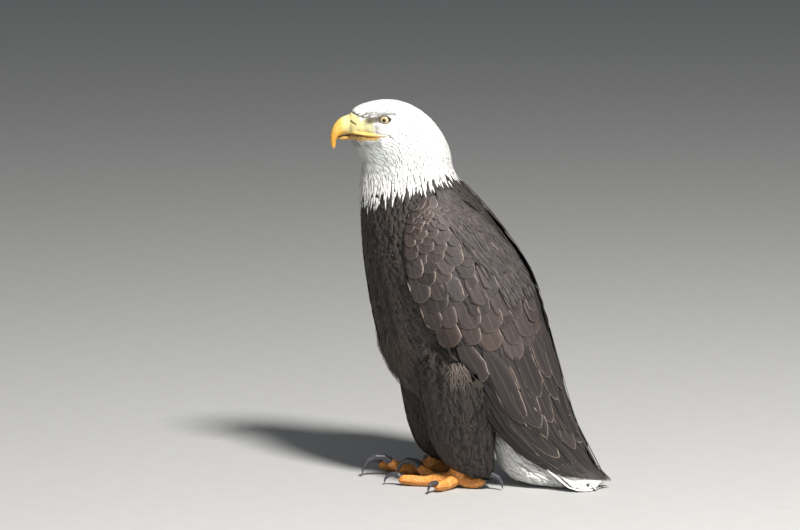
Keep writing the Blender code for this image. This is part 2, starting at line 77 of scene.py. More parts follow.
# The left wing in rows from the shoulder to the tips: leading edge, trailing edge, outward bulge.
WING_ROWS = np.array((
    (0.070, -0.034, 0.440, 0.046, 0.008, 0.449, 0.006),
    (0.093, -0.046, 0.404, 0.036, 0.027, 0.432, 0.020),
    (0.103, -0.042, 0.363, 0.027, 0.053, 0.409, 0.028),
    (0.106, -0.033, 0.318, 0.022, 0.083, 0.376, 0.032),
    (0.105, -0.015, 0.261, 0.018, 0.117, 0.329, 0.034),
    (0.100, 0.012, 0.198, 0.013, 0.141, 0.270, 0.033),
    (0.090, 0.048, 0.144, 0.009, 0.158, 0.206, 0.029),
    (0.076, 0.078, 0.095, 0.006, 0.173, 0.146, 0.023),
    (0.062, 0.112, 0.060, 0.004, 0.192, 0.096, 0.017),
    (0.049, 0.150, 0.033, 0.003, 0.212, 0.056, 0.011),
    (0.038, 0.190, 0.017, 0.003, 0.231, 0.030, 0.006),
    (0.028, 0.224, 0.0105, 0.006, 0.246, 0.0165, 0.002),
))
WING_ROWS[:, (1, 4)] += SHIFT.y

FLESH = (
    "head", "neck", "trunk", "undertail", "tail",
    "wing_left", "wing_right", "primaries_left", "primaries_right", "thigh_left", "thigh_right",
)
FORMS = {
    # name: nodes, voxel size, rounds of smoothing
    "whole": (FLESH, 0.0029, 9),
    "body": (("head", "neck", "trunk", "thigh_left", "thigh_right"), 0.0030, 14),
    "wing": (("wing_left", "primaries_left"), 0.0028, 14),
    "undertail": (("undertail",), 0.0022, 10),
    "tail": (("tail",), 0.0016, 6),
    "face": (("head", "upper_bill", "lower_bill", "eye_left", "eye_right"), 0.0010, 4),
}
SIDES = (("left", 1), ("right", -1))
TOES = ("inner", "middle", "outer", "hind")
MERGE = 0.00001  # points nearer than this are one
PATCH = 0.003  # each feather's patch on the unwrapped skin
BILL_VOXEL = 0.0007
FLOOR_CLEARANCE = 0.0004
TRIES = 7  # places tried for each feather that a form has room for
CLOSEST = 0.64  # square of the share of the spacing that two places keep
JUST_INSIDE = 0.0003  # under a surface, where a line through the body starts
SINK_LIMIT = 0.28  # share of the body's thickness that the skin may sink
TROUSERS_TOP = 0.18  # the height at which the breast's feathers end and the legs' begin


# ---------------------------------------------------------------------------------- modelling helpers


def alone(obj):
    """Makes obj the active object and the only selected one."""
    bpy.ops.object.select_all(action="DESELECT")
    obj.select_set(True)
    bpy.context.view_layer.objects.active = obj


def edit_whole(obj, operator, **settings):
    """Runs an operator in Edit Mode on the whole of a mesh."""
    alone(obj)
    bpy.ops.object.mode_set(mode="EDIT")
    bpy.ops.mesh.select_all(action="SELECT")
    operator(**settings)
    bpy.ops.object.mode_set(mode="OBJECT")


def join_to(obj, other):
    """Makes another object a part of obj."""
    alone(obj)
    other.select_set(True)
    bpy.ops.object.join()


def cad_copy(name, nodes):
    """A new object with the merged meshes of some CAD nodes."""
    bpy.ops.object.select_all(action="DESELECT")
    for node in nodes:
        copy = bpy.data.objects.new(name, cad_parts[node].data.copy())
        bpy.context.scene.collection.objects.link(copy)
        copy.select_set(True)
        bpy.context.view_layer.objects.active = copy
    if len(nodes) > 1:
        bpy.ops.object.join()
    joined = bpy.context.view_layer.objects.active
    edit_whole(joined, bpy.ops.mesh.remove_doubles, threshold=MERGE)
    joined.data.materials.clear()
    joined.name = name
    return joined


def apply_modifier(obj, kind, **settings):
    alone(obj)
    modifier = obj.modifiers.new(kind.lower(), kind)
    for key, value in settings.items():
        setattr(modifier, key, value)
    bpy.ops.object.modifier_apply(modifier=modifier.name)


def remeshed(name, nodes, voxel, smoothing):
    """The nodes as one closed, even and smoothed skin."""
    obj = cad_copy(name, nodes)
    apply_modifier(obj, "REMESH", mode="VOXEL", voxel_size=voxel)
    apply_modifier(obj, "SMOOTH", factor=0.5, iterations=smoothing)
    return obj


def mesh_points(mesh):
    points = np.empty(len(mesh.vertices) * 3)
    mesh.vertices.foreach_get("co", points)
    return points.reshape(-1, 3)


def move_points(mesh, points):
    mesh.vertices.foreach_set("co", points.reshape(-1))
    mesh.update()


def keep_values(mesh, name, kind, key, values):
    """Keeps a value for each point of a mesh, for its material to read."""
    layer = mesh.attributes.new(name, kind, "POINT")
    layer.data.foreach_set(key, values.reshape(-1))


def paint(mesh, colours):
    """Keeps a colour for each point of a mesh, for its material to read."""
    rgba = np.ones((len(colours), 4))
    rgba[:, :3] = colours
    keep_values(mesh, "Plumage", "FLOAT_COLOR", "color", rgba)


def mesh_triangles(mesh):
    mesh.calc_loop_triangles()
    corners = np.empty(len(mesh.loop_triangles) * 3, dtype=np.int32)
    mesh.loop_triangles.foreach_get("vertices", corners)
    return corners.reshape(-1, 3)


def unit(vectors):
    return vectors / np.maximum(np.linalg.norm(vectors, axis=-1, keepdims=True), 1e-9)


def at_each(value, points):
    """A value for each point. It is given as one number or as a function of the points."""
    return value(points) if callable(value) else np.full(len(points), value)


def smoothstep(low, high, value):
    t = np.clip((value - low) / (high - low), 0, 1)
    return t * t * (3 - 2 * t)


class Form:
    """A smooth surface that feathers are laid on."""

    def __init__(self, mesh):
        self.points = mesh_points(mesh)
        self.triangles = mesh_triangles(mesh)
        a, b, c = (self.points[self.triangles[:, i]] for i in range(3))
        cross = np.cross(b - a, c - a)
        self.areas = np.linalg.norm(cross, axis=1) / 2
        at_points = np.zeros_like(self.points)
        for i in range(3):
            np.add.at(at_points, self.triangles[:, i], cross)
        at_points = unit(at_points)
        self.outs = unit(sum(at_points[self.triangles[:, i]] for i in range(3)))
        self.tree = BVHTree.FromPolygons(self.points.tolist(), self.triangles.tolist())

    def nearest(self, points):
        """The nearest places on the surface, with the outward directions there."""
        found = np.empty_like(points)
        faces = np.empty(len(points), dtype=np.int64)
        for i, point in enumerate(points.tolist()):
            place, _, face, _ = self.tree.find_nearest(point)
            found[i] = place
            faces[i] = face
        return found, self.outs[faces]

    def gaps(self, points):
        """How far each point is from the surface."""
        return np.array([self.tree.find_nearest(point)[3] for point in points.tolist()])


_forms = {}


def form(name):
    """The named form, made from its CAD nodes on first use."""
    if name not in _forms:
        nodes, voxel, smoothing = FORMS[name]
        obj = remeshed("form", nodes, voxel, smoothing)
        _forms[name] = Form(obj.data)
        bpy.data.objects.remove(obj)
    return _forms[name]


# --------------------------------------------------------------------------------- laying of feathers


def scatter(surface, spacing, wanted, seed):
    """Places spread evenly over a form, about spacing apart, where wanted(places) is true."""
    rng = np.random.default_rng(seed)
    a, b, c = (surface.points[surface.triangles[:, i]] for i in range(3))
    centres = (a + b + c) / 3
    chosen = wanted(centres)
    gap = at_each(spacing, centres)
    weight = np.where(chosen, surface.areas / gap**2, 0)
    count = int(weight.sum() * TRIES)
    picks = rng.choice(len(weight), size=count, p=weight / weight.sum())
    r1 = np.sqrt(rng.random(count))[:, None]
    r2 = rng.random(count)[:, None]
    points = a[picks] * (1 - r1) + b[picks] * r1 * (1 - r2) + c[picks] * r1 * r2
    gap = gap[picks]
    cell = gap.max()
    keys = np.floor(points / cell).astype(int)
    grid, kept = {}, []
    steps = [(x, y, z) for x in (-1, 0, 1) for y in (-1, 0, 1) for z in (-1, 0, 1)]
    for i, (point, key, near) in enumerate(zip(points.tolist(), keys.tolist(), gap.tolist())):
        limit = near * near * CLOSEST
        free = True
        for dx, dy, dz in steps:
            for q in grid.get((key[0] + dx, key[1] + dy, key[2] + dz), ()):
                if (q[0] - point[0]) ** 2 + (q[1] - point[1]) ** 2 + (q[2] - point[2]) ** 2 < limit:
                    free = False
                    break
            if not free:
                break
        if free:
            grid.setdefault(tuple(key), []).append(point)
            kept.append(i)
    return points[kept], surface.outs[picks[kept]]


def along_surface(directions, outs):
    """Directions laid flat on the surface."""
    return unit(directions - outs * (directions * outs).sum(-1, keepdims=True))


def spines(surface, roots, outs, flow, lengths, stations, turn):
    """Lines that follow the flow over a form from each root, turned from it by an angle at each step:
    their points and outward directions."""
    line = np.empty((len(roots), len(stations), 3))
    up = np.empty_like(line)
    line[:, 0], up[:, 0] = roots, outs
    for i in range(1, len(stations)):
        heading = along_surface(flow(line[:, i - 1]), up[:, i - 1])
        heading = (
            heading * np.cos(turn)[:, None]
            + np.cross(up[:, i - 1], heading) * np.sin(turn)[:, None]
        )
        ahead = line[:, i - 1] + heading * (lengths * (stations[i] - stations[i - 1]))[:, None]
        line[:, i], up[:, i] = surface.nearest(ahead)
    return line, up


class Vane:
    """The outline of a kind of feather: stations along it, its half width there, and how it is built
    across. Each is a thin closed lens."""

    def __init__(self, stations, widths, across, thickness, camber):
        self.stations = np.array(stations, dtype=float)
        self.widths = np.array(widths, dtype=float)
        self.top = np.linspace(-1, 1, across + 1)
        self.under = self.top[1:-1][::-1]
        self.ring = np.concatenate((self.top, self.under))
        self.thickness = thickness
        self.camber = camber

    def faces(self):
        """Faces of one feather, as corner numbers."""
        size, rings = len(self.ring), len(self.stations)
        quads = []
        for r in range(rings - 1):
            for i in range(size):
                j = (i + 1) % size
                quads.append((r * size + i, r * size + j, (r + 1) * size + j, (r + 1) * size + i))
        return quads, tuple(range(size))[::-1], tuple(range((rings - 1) * size, rings * size))


def gather(line, spacing, share, seed):
    """Draws the ends of neighbouring spines together into pointed locks about spacing apart."""
    rng = np.random.default_rng(seed)
    ends = line[:, -1]
    order = rng.permutation(len(ends))
    cells, leaders = set(), []
    for i in order:
        key = tuple(np.floor(ends[i] / spacing).astype(int))
        if key not in cells:
            cells.add(key)
            leaders.append(i)
    leaders = np.array(leaders)
    best = np.empty(len(ends), dtype=int)
    for start in range(0, len(ends), 512):
        block = ends[start:start + 512]
        apart = np.linalg.norm(block[:, None] - ends[leaders][None], axis=2)
        best[start:start + 512] = leaders[apart.argmin(axis=1)]
    pull = share[:, None, None] * np.linspace(0, 1, line.shape[1])[None, :, None] ** 1.5
    return line + (line[best] - line) * pull


def lifts(vane, root, tip, uneven, count, rng):
    """How high each station of each feather lies over the form, from root to tip."""
    return (root + (tip - root) * vane.stations)[None, :] + rng.normal(0, uneven, count)[:, None]


def feathers(vane, line, up, widths, lift, rng):
    """Points of feathers on their spines. lift is each station's height over the form."""
    count, stations = line.shape[:2]
    along = unit(np.gradient(line, axis=1))
    side = unit(np.cross(along, up))
    up = np.cross(side, along)
    ring = vane.ring
    half = widths[:, None] / 2 * vane.widths[None, :]
    rough = 1 + rng.normal(0, 0.06, (count, stations, 2))
    rough = np.where(ring[None, None, :] < 0, rough[:, :, :1], rough[:, :, 1:])
    out = half[:, :, None] * ring * rough
    arch = 1 - ring**2
    is_top = np.concatenate((np.ones(len(vane.top)), np.zeros(len(vane.under))))
    body = vane.thickness * np.sqrt(arch) * (is_top - 0.5)
    height = half[:, :, None] * vane.camber * (arch - 1) + body
    height = height + lift[:, :, None]
    return line[:, :, None, :] + side[:, :, None, :] * out[..., None] + up[:, :, None, :] * height[..., None]


class Coat:
    """Feathers gathered for one piece of the coat."""

    def __init__(self):
        self.points, self.quads, self.caps = [], [], []
        self.vane_map, self.bake_map, self.colours, self.seeds = [], [], [], []
        self.outs, self.margins = [], []
        self.total = 0

    def add(self, vane, points, up, colours, rng, side=1):
        """points is (feathers, stations, ring, 3), up is (feathers, stations, 3) and colours is
        (feathers, 3). A side of -1 mirrors them."""
        points = points * np.array((side, 1, 1))
        outs = np.broadcast_to((up * np.array((side, 1, 1)))[:, :, None, :], points.shape)
        self.outs.append(outs.reshape(-1, 3))
        half = np.linalg.norm(points[:, :, 0] - points[:, :, len(vane.top) - 1], axis=-1) / 2
        steps = np.linalg.norm(np.diff(points[:, :, 0], axis=1), axis=-1)
        left = np.concatenate((steps[:, ::-1].cumsum(axis=1)[:, ::-1], np.zeros((len(points), 1))), axis=1)
        margin = np.minimum(half[:, :, None] * (1 - np.abs(vane.ring)), left[:, :, None])
        self.margins.append(margin.reshape(-1))
        points[..., 2] = np.maximum(points[..., 2], FLOOR_CLEARANCE)
        count = len(points)
        per = points.shape[1] * points.shape[2]
        quads, first, last = vane.faces()
        base = self.total + np.arange(count)[:, None, None] * per
        self.quads.append((np.array(quads)[:, ::side][None] + base).reshape(-1, 4))
        self.caps.append((np.array((first, last))[:, ::side][None] + base).reshape(-1, len(first)))
        self.points.append(points.reshape(-1, 3))
        across = (vane.ring + 1) / 2
        u = np.broadcast_to(across[None, None, :], points.shape[:3])
        v = np.broadcast_to(vane.stations[None, :, None], points.shape[:3])
        own = np.stack((u, v), -1).reshape(-1, 2)
        self.vane_map.append(own)
        patch = np.repeat(skin_places(points[:, 0, 0]), per, axis=0)
        self.bake_map.append(patch + (own - 0.5) * PATCH)
        self.colours.append(np.repeat(colours, per, axis=0))
        self.seeds.append(np.repeat(rng.random(count), per))
        self.total += count * per

    def build(self, name, material):
        """Makes the coat's feathers one object."""
        points = np.concatenate(self.points)
        groups = self.quads + self.caps
        loops = np.concatenate([g.reshape(-1) for g in groups])
        sizes = np.concatenate([np.full(len(g), g.shape[1]) for g in groups])
        starts = np.concatenate(((0,), np.cumsum(sizes)[:-1]))
        mesh = bpy.data.meshes.new(name)
        mesh.vertices.add(len(points))
        mesh.vertices.foreach_set("co", points.reshape(-1))
        mesh.loops.add(len(loops))
        mesh.loops.foreach_set("vertex_index", loops.astype(np.int32))
        mesh.polygons.add(len(sizes))
        mesh.polygons.foreach_set("loop_start", starts.astype(np.int32))
        mesh.update(calc_edges=True)
        for map_name, parts in (("Vane", self.vane_map), ("OFBake", self.bake_map)):
            layer = mesh.uv_layers.new(name=map_name)
            values = np.concatenate(parts)[loops]
            layer.data.foreach_set("uv", values.reshape(-1))
        mesh.uv_layers.active = mesh.uv_layers["Vane"]
        mesh.uv_layers["Vane"].active_render = True
        paint(mesh, np.concatenate(self.colours))
        keep_values(mesh, "Seed", "FLOAT", "value", np.concatenate(self.seeds))
        keep_values(mesh, "Margin", "FLOAT", "value", np.concatenate(self.margins))
        keep_values(mesh, "Lie", "FLOAT_VECTOR", "vector", unit(np.concatenate(self.outs)))
        mesh.shade_smooth()
        mesh.materials.append(material)
        obj = bpy.data.objects.new(name, mesh)
        bpy.context.scene.collection.objects.link(obj)
        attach(obj, "root")


# -------------------------------------------------------------------------------------------- shading


def new_material(name, rough):
    """A material with a Principled shader of that roughness. Returns it, its tree and the shader."""
    material = bpy.data.materials.new(name)
    material.use_nodes = True
    tree = material.node_tree
    shader = tree.nodes["Principled BSDF"]
    shader.inputs["Roughness"].default_value = rough
    return material, tree, shader


def node(tree, kind, inputs=(), **settings):
    """Adds a shader node. inputs are (socket name or number, value or output) pairs."""
    made = tree.nodes.new("ShaderNode" + kind)
    for key, value in settings.items():
        setattr(made, key, value)
    for key, value in inputs:
        if isinstance(value, bpy.types.NodeSocket):
            tree.links.new(value, made.inputs[key])
        else:
            made.inputs[key].default_value = value
    return made


def maths(tree, operation, *values):
    return node(tree, "Math", list(enumerate(values)), operation=operation).outputs[0]


def fade(tree, value, low, high, to_low=0.0, to_high=1.0):
    """Maps value from low..high smoothly to to_low..to_high."""
    pairs = ((0, value), (1, low), (2, high), (3, to_low), (4, to_high))
    return node(tree, "MapRange", pairs, interpolation_type="SMOOTHSTEP").outputs[0]


def mixed(tree, share, first, second, blend="MIX"):
    pairs = ((0, share), (6, first), (7, second))
    return node(tree, "Mix", pairs, data_type="RGBA", blend_type=blend).outputs[2]


def rgb(colour):
    return (*colour, 1)


def object_noise(tree, scale, detail):
    """Noise in the piece's own coordinates."""
    place = node(tree, "TexCoord").outputs["Object"]
    return node(tree, "TexNoise", (("Vector", place), ("Scale", scale), ("Detail", detail))).outputs[0]


def scaled(tree, vector, by):
    return node(tree, "VectorMath", ((0, vector), (3, by)), operation="SCALE").outputs[0]


def show_paint(tree, shader, noise, darkest, lightest):
    """Gives a shader the colours painted on the piece, made darker and lighter by noise."""
    base = node(tree, "Attribute", attribute_name="Plumage").outputs["Color"]
    lighter = fade(tree, noise, 0.3, 0.7, darkest, lightest)
    tree.links.new(scaled(tree, base, lighter), shader.inputs["Base Color"])


def mottle(tree, shader, first, second, scale, detail):
    """Gives a shader two colours, mixed by noise."""
    colour = mixed(tree, object_noise(tree, scale, detail), rgb(first), rgb(second))
    tree.links.new(colour, shader.inputs["Base Color"])


def raise_surface(tree, shader, height, distance):
    """Gives a shader a fine relief."""
    bump = node(tree, "Bump", (("Height", height), ("Distance", distance)))
    tree.links.new(bump.outputs[0], shader.inputs["Normal"])


def vane_group():
    """The pattern of one feather: its shaft, the clumped barbs, the worn rim, from its own map."""
    name = "Feather vane"
    if name in bpy.data.node_groups:
        return bpy.data.node_groups[name]
    tree = bpy.data.node_groups.new(name, "ShaderNodeTree")
    sockets = (
        ("Across", 0.5), ("Along", 0.5), ("Margin", 0.5), ("Seed", 0.5), ("Barbs", 40.0), ("Slant", 0.5),
        ("Rim", 0.001),
    )
    for label, value in sockets:
        socket = tree.interface.new_socket(label, in_out="INPUT", socket_type="NodeSocketFloat")
        socket.default_value = value
    for label in ("Shaft", "Clump", "Edge", "Height"):
        tree.interface.new_socket(label, in_out="OUTPUT", socket_type="NodeSocketFloat")
    into = tree.nodes.new("NodeGroupInput").outputs
    out = tree.nodes.new("NodeGroupOutput").inputs
    offset = maths(tree, "SUBTRACT", maths(tree, "MULTIPLY", into["Across"], 2.0), 1.0)
    away = maths(tree, "ABSOLUTE", offset)
    shaft = fade(tree, away, 0.03, 0.10, 1.0, 0.0)
    slanted = maths(tree, "SUBTRACT", into["Along"], maths(tree, "MULTIPLY", away, into["Slant"]))
    run = maths(tree, "MULTIPLY", slanted, into["Barbs"])
    side = maths(tree, "SIGN", offset)
    shift = maths(tree, "MULTIPLY_ADD", into["Seed"], 57.0, maths(tree, "MULTIPLY", side, 3.7))
    wave = maths(tree, "SINE", maths(tree, "MULTIPLY", run, 2 * math.pi))
    barb = maths(tree, "MULTIPLY_ADD", wave, 0.5, 0.5)
    place = node(tree, "CombineXYZ", ((0, run), (1, shift), (2, maths(tree, "MULTIPLY", away, 0.6))))
    noise = node(tree, "TexNoise", (("Vector", place.outputs[0]), ("Scale", 0.35), ("Detail", 3.0)))
    clump = fade(tree, noise.outputs[0], 0.30, 0.70)
    ragged = maths(tree, "MULTIPLY", maths(tree, "SUBTRACT", clump, 0.5), into["Rim"])
    from_edge = maths(tree, "ADD", into["Margin"], ragged)
    sides = fade(tree, from_edge, maths(tree, "MULTIPLY", into["Rim"], 0.5),
                 maths(tree, "MULTIPLY", into["Rim"], 1.5), 1.0, 0.0)
    late = fade(tree, into["Along"], 0.20, 0.60)
    edge = maths(tree, "MULTIPLY", sides, late)
    height = maths(tree, "MULTIPLY_ADD", clump, 0.7, maths(tree, "MULTIPLY", barb, 0.3))
    height = maths(tree, "MULTIPLY_ADD", shaft, 0.8, height)
    for label, value in (("Shaft", shaft), ("Clump", clump), ("Edge", edge), ("Height", height)):
        tree.links.new(value, out[label])
    return tree


def feather_material(name, rough, rim_colour, rim_share, streak, barbs, relief, shaft_dark, rim=0.001,
                     slant=0.5, soft=0.5, centre=0.0):
    """Feathers in the colour of each one's own attribute, with streaks, a shaft and a rim. soft is how
    far their shading follows the body's form and not each vane, as in plumage that blends, and centre how
    much darker a vane is inside than at its edge."""
    material, tree, shader = new_material(name, rough)
    own = node(tree, "UVMap", uv_map="Vane").outputs[0]
    parts = node(tree, "SeparateXYZ", ((0, own),))
    seed = node(tree, "Attribute", attribute_name="Seed").outputs["Fac"]
    base = node(tree, "Attribute", attribute_name="Plumage").outputs["Color"]
    margin = node(tree, "Attribute", attribute_name="Margin").outputs["Fac"]
    group = node(tree, "Group", node_tree=vane_group())
    for label, value in (
        ("Across", parts.outputs[0]), ("Along", parts.outputs[1]), ("Seed", seed), ("Margin", margin),
    ):
        tree.links.new(value, group.inputs[label])
    for label, value in (("Barbs", barbs), ("Slant", slant), ("Rim", rim)):
        group.inputs[label].default_value = value
    clump = group.outputs["Clump"]
    lighter = fade(tree, clump, 0.0, 1.0, 1.0 - streak, 1.0 + streak)
    lighter = maths(tree, "MULTIPLY", lighter, fade(tree, margin, 0.0, 0.010, 1.0 + centre, 1.0 - centre))
    shaded = mixed(tree, maths(tree, "MULTIPLY", group.outputs["Shaft"], shaft_dark),
                   scaled(tree, base, lighter),
                   rgb([c * 0.35 for c in rim_colour]))
    share = maths(tree, "MULTIPLY", group.outputs["Edge"], rim_share)
    share = maths(tree, "MULTIPLY", share, fade(tree, seed, 0.0, 1.0, 0.45, 1.0))
    tree.links.new(mixed(tree, share, shaded, rgb(rim_colour)), shader.inputs["Base Color"])
    lie = node(tree, "Attribute", attribute_name="Lie").outputs["Vector"]
    own_normal = node(tree, "NewGeometry").outputs["Normal"]
    apart = node(tree, "VectorMath", ((0, lie), (1, own_normal)), operation="SUBTRACT").outputs[0]
    part = scaled(tree, apart, soft)
    summed = node(tree, "VectorMath", ((0, own_normal), (1, part)), operation="ADD").outputs[0]
    even = node(tree, "VectorMath", ((0, summed),), operation="NORMALIZE").outputs[0]
    pairs = (("Height", group.outputs["Height"]), ("Distance", relief), ("Normal", even))
    bump = node(tree, "Bump", pairs)
    tree.links.new(bump.outputs[0], shader.inputs["Normal"])
    shader.inputs["Specular IOR Level"].default_value = 0.35
    return material


# ----------------------------------------------------------------------------------------- the face

BILL_BASE = np.array(NECK_AXIS + Matrix.Rotation(HEAD_TURN, 3, "Z") @ Vector((0, -0.090, 0.533)))
EYE_BALL = (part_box("eye_left")[1].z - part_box("eye_left")[0].z) / 2
LID_INNER, LID_OUTER = 46.0, 72.0  # degrees from the gaze at which the lids begin and end
LID_RISE = 0.0009
SEAM_AHEAD = 0.0965  # of the neck axis, where the horn meets the head's solid
PUPIL_ANGLE, IRIS_ANGLE = 15.0, 44.0
UPPER_LID_DROP = 7.0  # degrees by which the upper lid comes further over the eye
# Outlines on the side of the head, as distance ahead of the neck axis and height, and BARE_REAR as height
# and distance ahead.
BARE_TOP = ((0.0300, 0.5480), (0.0426, 0.5545), (0.0486, 0.5529), (0.0552, 0.5515), (0.0638, 0.5510),
            (0.0724, 0.5498), (0.0764, 0.5462), (0.0784, 0.5436), (0.0805, 0.5452), (0.0822, 0.5508),
            (0.0876, 0.5526), (0.0960, 0.5560), (0.1300, 0.5900))
BARE_REAR = ((0.5105, 0.0700), (0.5130, 0.0600), (0.5200, 0.0520), (0.5224, 0.0350), (0.5254, 0.0427),
             (0.5288, 0.0559), (0.5341, 0.0572), (0.5366, 0.0592), (0.5408, 0.0565), (0.5431, 0.0526),
             (0.5560, 0.0526))
MOUTH_LINE = ((0.0350, 0.5208), (0.0460, 0.5203), (0.0592, 0.5209), (0.0691, 0.5224), (0.0791, 0.5231),
              (0.0923, 0.5233), (0.1023, 0.5220), (0.1122, 0.5188), (0.1188, 0.5174))
JAW_LINE = ((0.0552, 0.5113), (0.0625, 0.5125), (0.0711, 0.5136), (0.0818, 0.5130), (0.0960, 0.5128))
NOSTRIL_FRONT, NOSTRIL_REAR = (0.0959, 0.5431), (0.0883, 0.5394)


def head_places(points):
    """Points in the head's own terms: distance out from its middle plane, ahead of the neck, height."""
    from_axis = points[:, :2] - np.array(NECK_AXIS)[:2]
    cos, sin = math.cos(HEAD_TURN), math.sin(HEAD_TURN)
    out = from_axis[:, 0] * cos + from_axis[:, 1] * sin
    ahead = from_axis[:, 0] * sin - from_axis[:, 1] * cos
    return np.abs(out), ahead, points[:, 2]


def along_outline(outline, values):
    outline = np.array(sorted(outline))
    return np.interp(values, outline[:, 0], outline[:, 1])


def from_nostril(points):
    """How far points are from the slit of a nostril, seen from the side."""
    _, ahead, height = head_places(points)
    front, rear = np.array(NOSTRIL_FRONT), np.array(NOSTRIL_REAR)
    place = np.stack((ahead, height), axis=1)
    share = np.clip(((place - front) @ (rear - front)) / ((rear - front) @ (rear - front)), 0, 1)
    return np.linalg.norm(place - front - share[:, None] * (rear - front), axis=1)


def bareness(points):
    """1 on the bare cere and lores in front of the eyes, 0 on the feathers."""
    _, ahead, height = head_places(points)
    below = smoothstep(-0.0008, 0.0012, along_outline(BARE_TOP, ahead) - height)
    before = smoothstep(-0.0012, 0.0020, ahead - along_outline(BARE_REAR, height))
    above = smoothstep(-0.0008, 0.0008, height - along_outline(JAW_LINE, ahead))
    return below * before * above


def face_colours(points, colours):
    """The bare skin and horn of the face: cere, lores, mouth line, nostril and jaw, and the brow's shadow
    painted over the dark skin before the eye.
    """
    _, ahead, height = head_places(points)

    def blend(base, name, share):
        return base + (np.array(getattr(colours, name)) - base) * share[:, None]

    over_mouth = height - along_outline(MOUTH_LINE, ahead)
    found = np.tile(np.array(colours.white_skin), (len(points), 1))
    found = blend(found, "lores", smoothstep(0.056, 0.067, ahead + (0.540 - height) * 0.3))
    found = blend(found, "cere", smoothstep(0.073, 0.084, ahead + (0.540 - height) * 0.5))
    low = smoothstep(0.012, 0.002, over_mouth)
    found = blend(found, "bill", 0.85 * smoothstep(0.0085, 0.0025, over_mouth)
                  * smoothstep(0.036, 0.060, ahead))
    found = blend(found, "bill", smoothstep(0.101, 0.112, ahead + (0.535 - height) * 0.25))
    found = blend(found, "bill_deep", 0.75 * low * smoothstep(0.098, 0.112, ahead))
    hook = smoothstep(0.112, 0.118, ahead)
    found = blend(found, "bill_deep", 0.5 * smoothstep(0.523, 0.512, height) * hook)
    found = blend(found, "bill_tip", smoothstep(0.5055, 0.4995, height) * hook)
    below_mouth = smoothstep(0.0002, -0.0008, over_mouth)
    before_hook = 1 - smoothstep(0.1135, 0.1150, ahead)
    found = blend(found, "jaw", below_mouth * before_hook)
    thick = 0.0007 + 0.0005 * smoothstep(0.070, 0.084, ahead)
    found = blend(found, "mouth", smoothstep(thick * 1.5, thick * 0.5, np.abs(over_mouth)) * before_hook
                  * (0.45 + 0.5 * smoothstep(0.066, 0.080, ahead)))
    found = blend(found, "mouth", smoothstep(0.0015, 0.0008, from_nostril(points)))
    # Dark skin in front of the eye, with the brow's shadow painted over it
    brow = along_outline(BARE_TOP, ahead) - height
    shade = smoothstep(-0.004, -0.001, brow) * smoothstep(0.0110, 0.0070, brow)
    shade *= smoothstep(0.0775, 0.069, ahead) * smoothstep(0.030, 0.040, ahead)
    return blend(found, "brow_shade", 0.94 * shade)


# ----------------------------------------------------------------------------------------- the skin

_unwrapped = {}


def skin_places(points):
    """Where points lie on the unwrapped skin."""
    tree, places = _unwrapped["tree"], _unwrapped["places"]
    faces = [tree.find_nearest(point)[2] for point in points.tolist()]
    return places[faces]


def plumage_line(points):
    """How far places are over the line where white plumage meets brown, which rises to the nape."""
    front = np.array((-0.140, 0.420)) + (SHIFT.y, 0)
    back = np.array((0.006, 0.468)) + (SHIFT.y, 0)
    share = (points[:, 1] - front[0]) / (back[0] - front[0])
    return points[:, 2] - (front[1] + (back[1] - front[1]) * share)


def sink(obj, surface, depths):
    """Moves a mesh's points inwards, by at most a share of the body's thickness there."""
    points = mesh_points(obj.data)
    _, outs = surface.nearest(points)
    deep = np.empty(len(points))
    for i, (point, out) in enumerate(zip(points.tolist(), outs)):
        start = Vector(point) - Vector(out) * JUST_INSIDE
        hit = surface.tree.ray_cast(start, -Vector(out))
        thickness = hit[3] if hit[0] is not None else 1.0
        deep[i] = min(depths[i], thickness * SINK_LIMIT)
    points -= outs * deep[:, None]
    points[:, 2] = np.maximum(points[:, 2], 0)
    move_points(obj.data, points)


def refine_face(skin):
    """Divides the faces round the eyes and the bill's base, and draws them onto the finer head."""
    points = mesh_points(skin.data)
    near = near_face(points) < 0.027
    alone(skin)
    bpy.ops.object.mode_set(mode="EDIT")
    bpy.ops.mesh.select_mode(type="FACE")
    bpy.ops.mesh.select_all(action="DESELECT")
    bpy.ops.object.mode_set(mode="OBJECT")
    chosen = [bool(near[list(face.vertices)].all()) for face in skin.data.polygons]
    skin.data.polygons.foreach_set("select", chosen)
    bpy.ops.object.mode_set(mode="EDIT")
    bpy.ops.mesh.subdivide(number_cuts=2)
    bpy.ops.object.mode_set(mode="OBJECT")
    points = mesh_points(skin.data)
    share = smoothstep(0.026, 0.020, near_face(points))
    places = np.flatnonzero(share > 0)
    found, _ = form("face").nearest(points[places])
    points[places] += (found - points[places]) * share[places, None]
    move_points(skin.data, points)


def gaze_of(side):
    return Matrix.Rotation(HEAD_TURN, 3, "Z") @ Vector((side, -0.22, 0.0)).normalized()


def eye_angles(points):
    """How far, in degrees, points lie from the nearer eye's gaze, and how far from its middle."""
    best = None
    for name, side in SIDES:
        from_eye = points - np.array(middle(f"eye_{name}"))
        distance = np.linalg.norm(from_eye, axis=1)
        angle = np.degrees(np.arccos(np.clip(unit(from_eye) @ np.array(gaze_of(side)), -1, 1)))
        if best is None:
            best = angle, distance
        else:
            nearer = distance < best[1]
            best = np.where(nearer, angle, best[0]), np.where(nearer, distance, best[1])
    return best


def lid_share(points):
    angle, distance = eye_angles(points)
    return ((distance < EYE_BALL + LID_RISE * 1.6) & (angle < LID_OUTER + 4)).astype(float)


def lid_colours(points, colours):
    """Dark at the opening, then pale skin below and brown skin above; the upper lid is dark skin with the
    brow's shadow painted over it.
    """
    angle, _ = eye_angles(points)
    above = smoothstep(-0.001, 0.003, points[:, 2] - EYES.z)[:, None]
    pale, dark = np.array(colours.lid), np.array(colours.eye_ring)
    # Painted shade: the upper lid darker, for the brow's shadow over its dark skin
    outer = pale + (dark * 1.6 - pale) * above
    return dark + (outer - dark) * smoothstep(LID_INNER + 8, LID_INNER + 16, angle)[:, None]


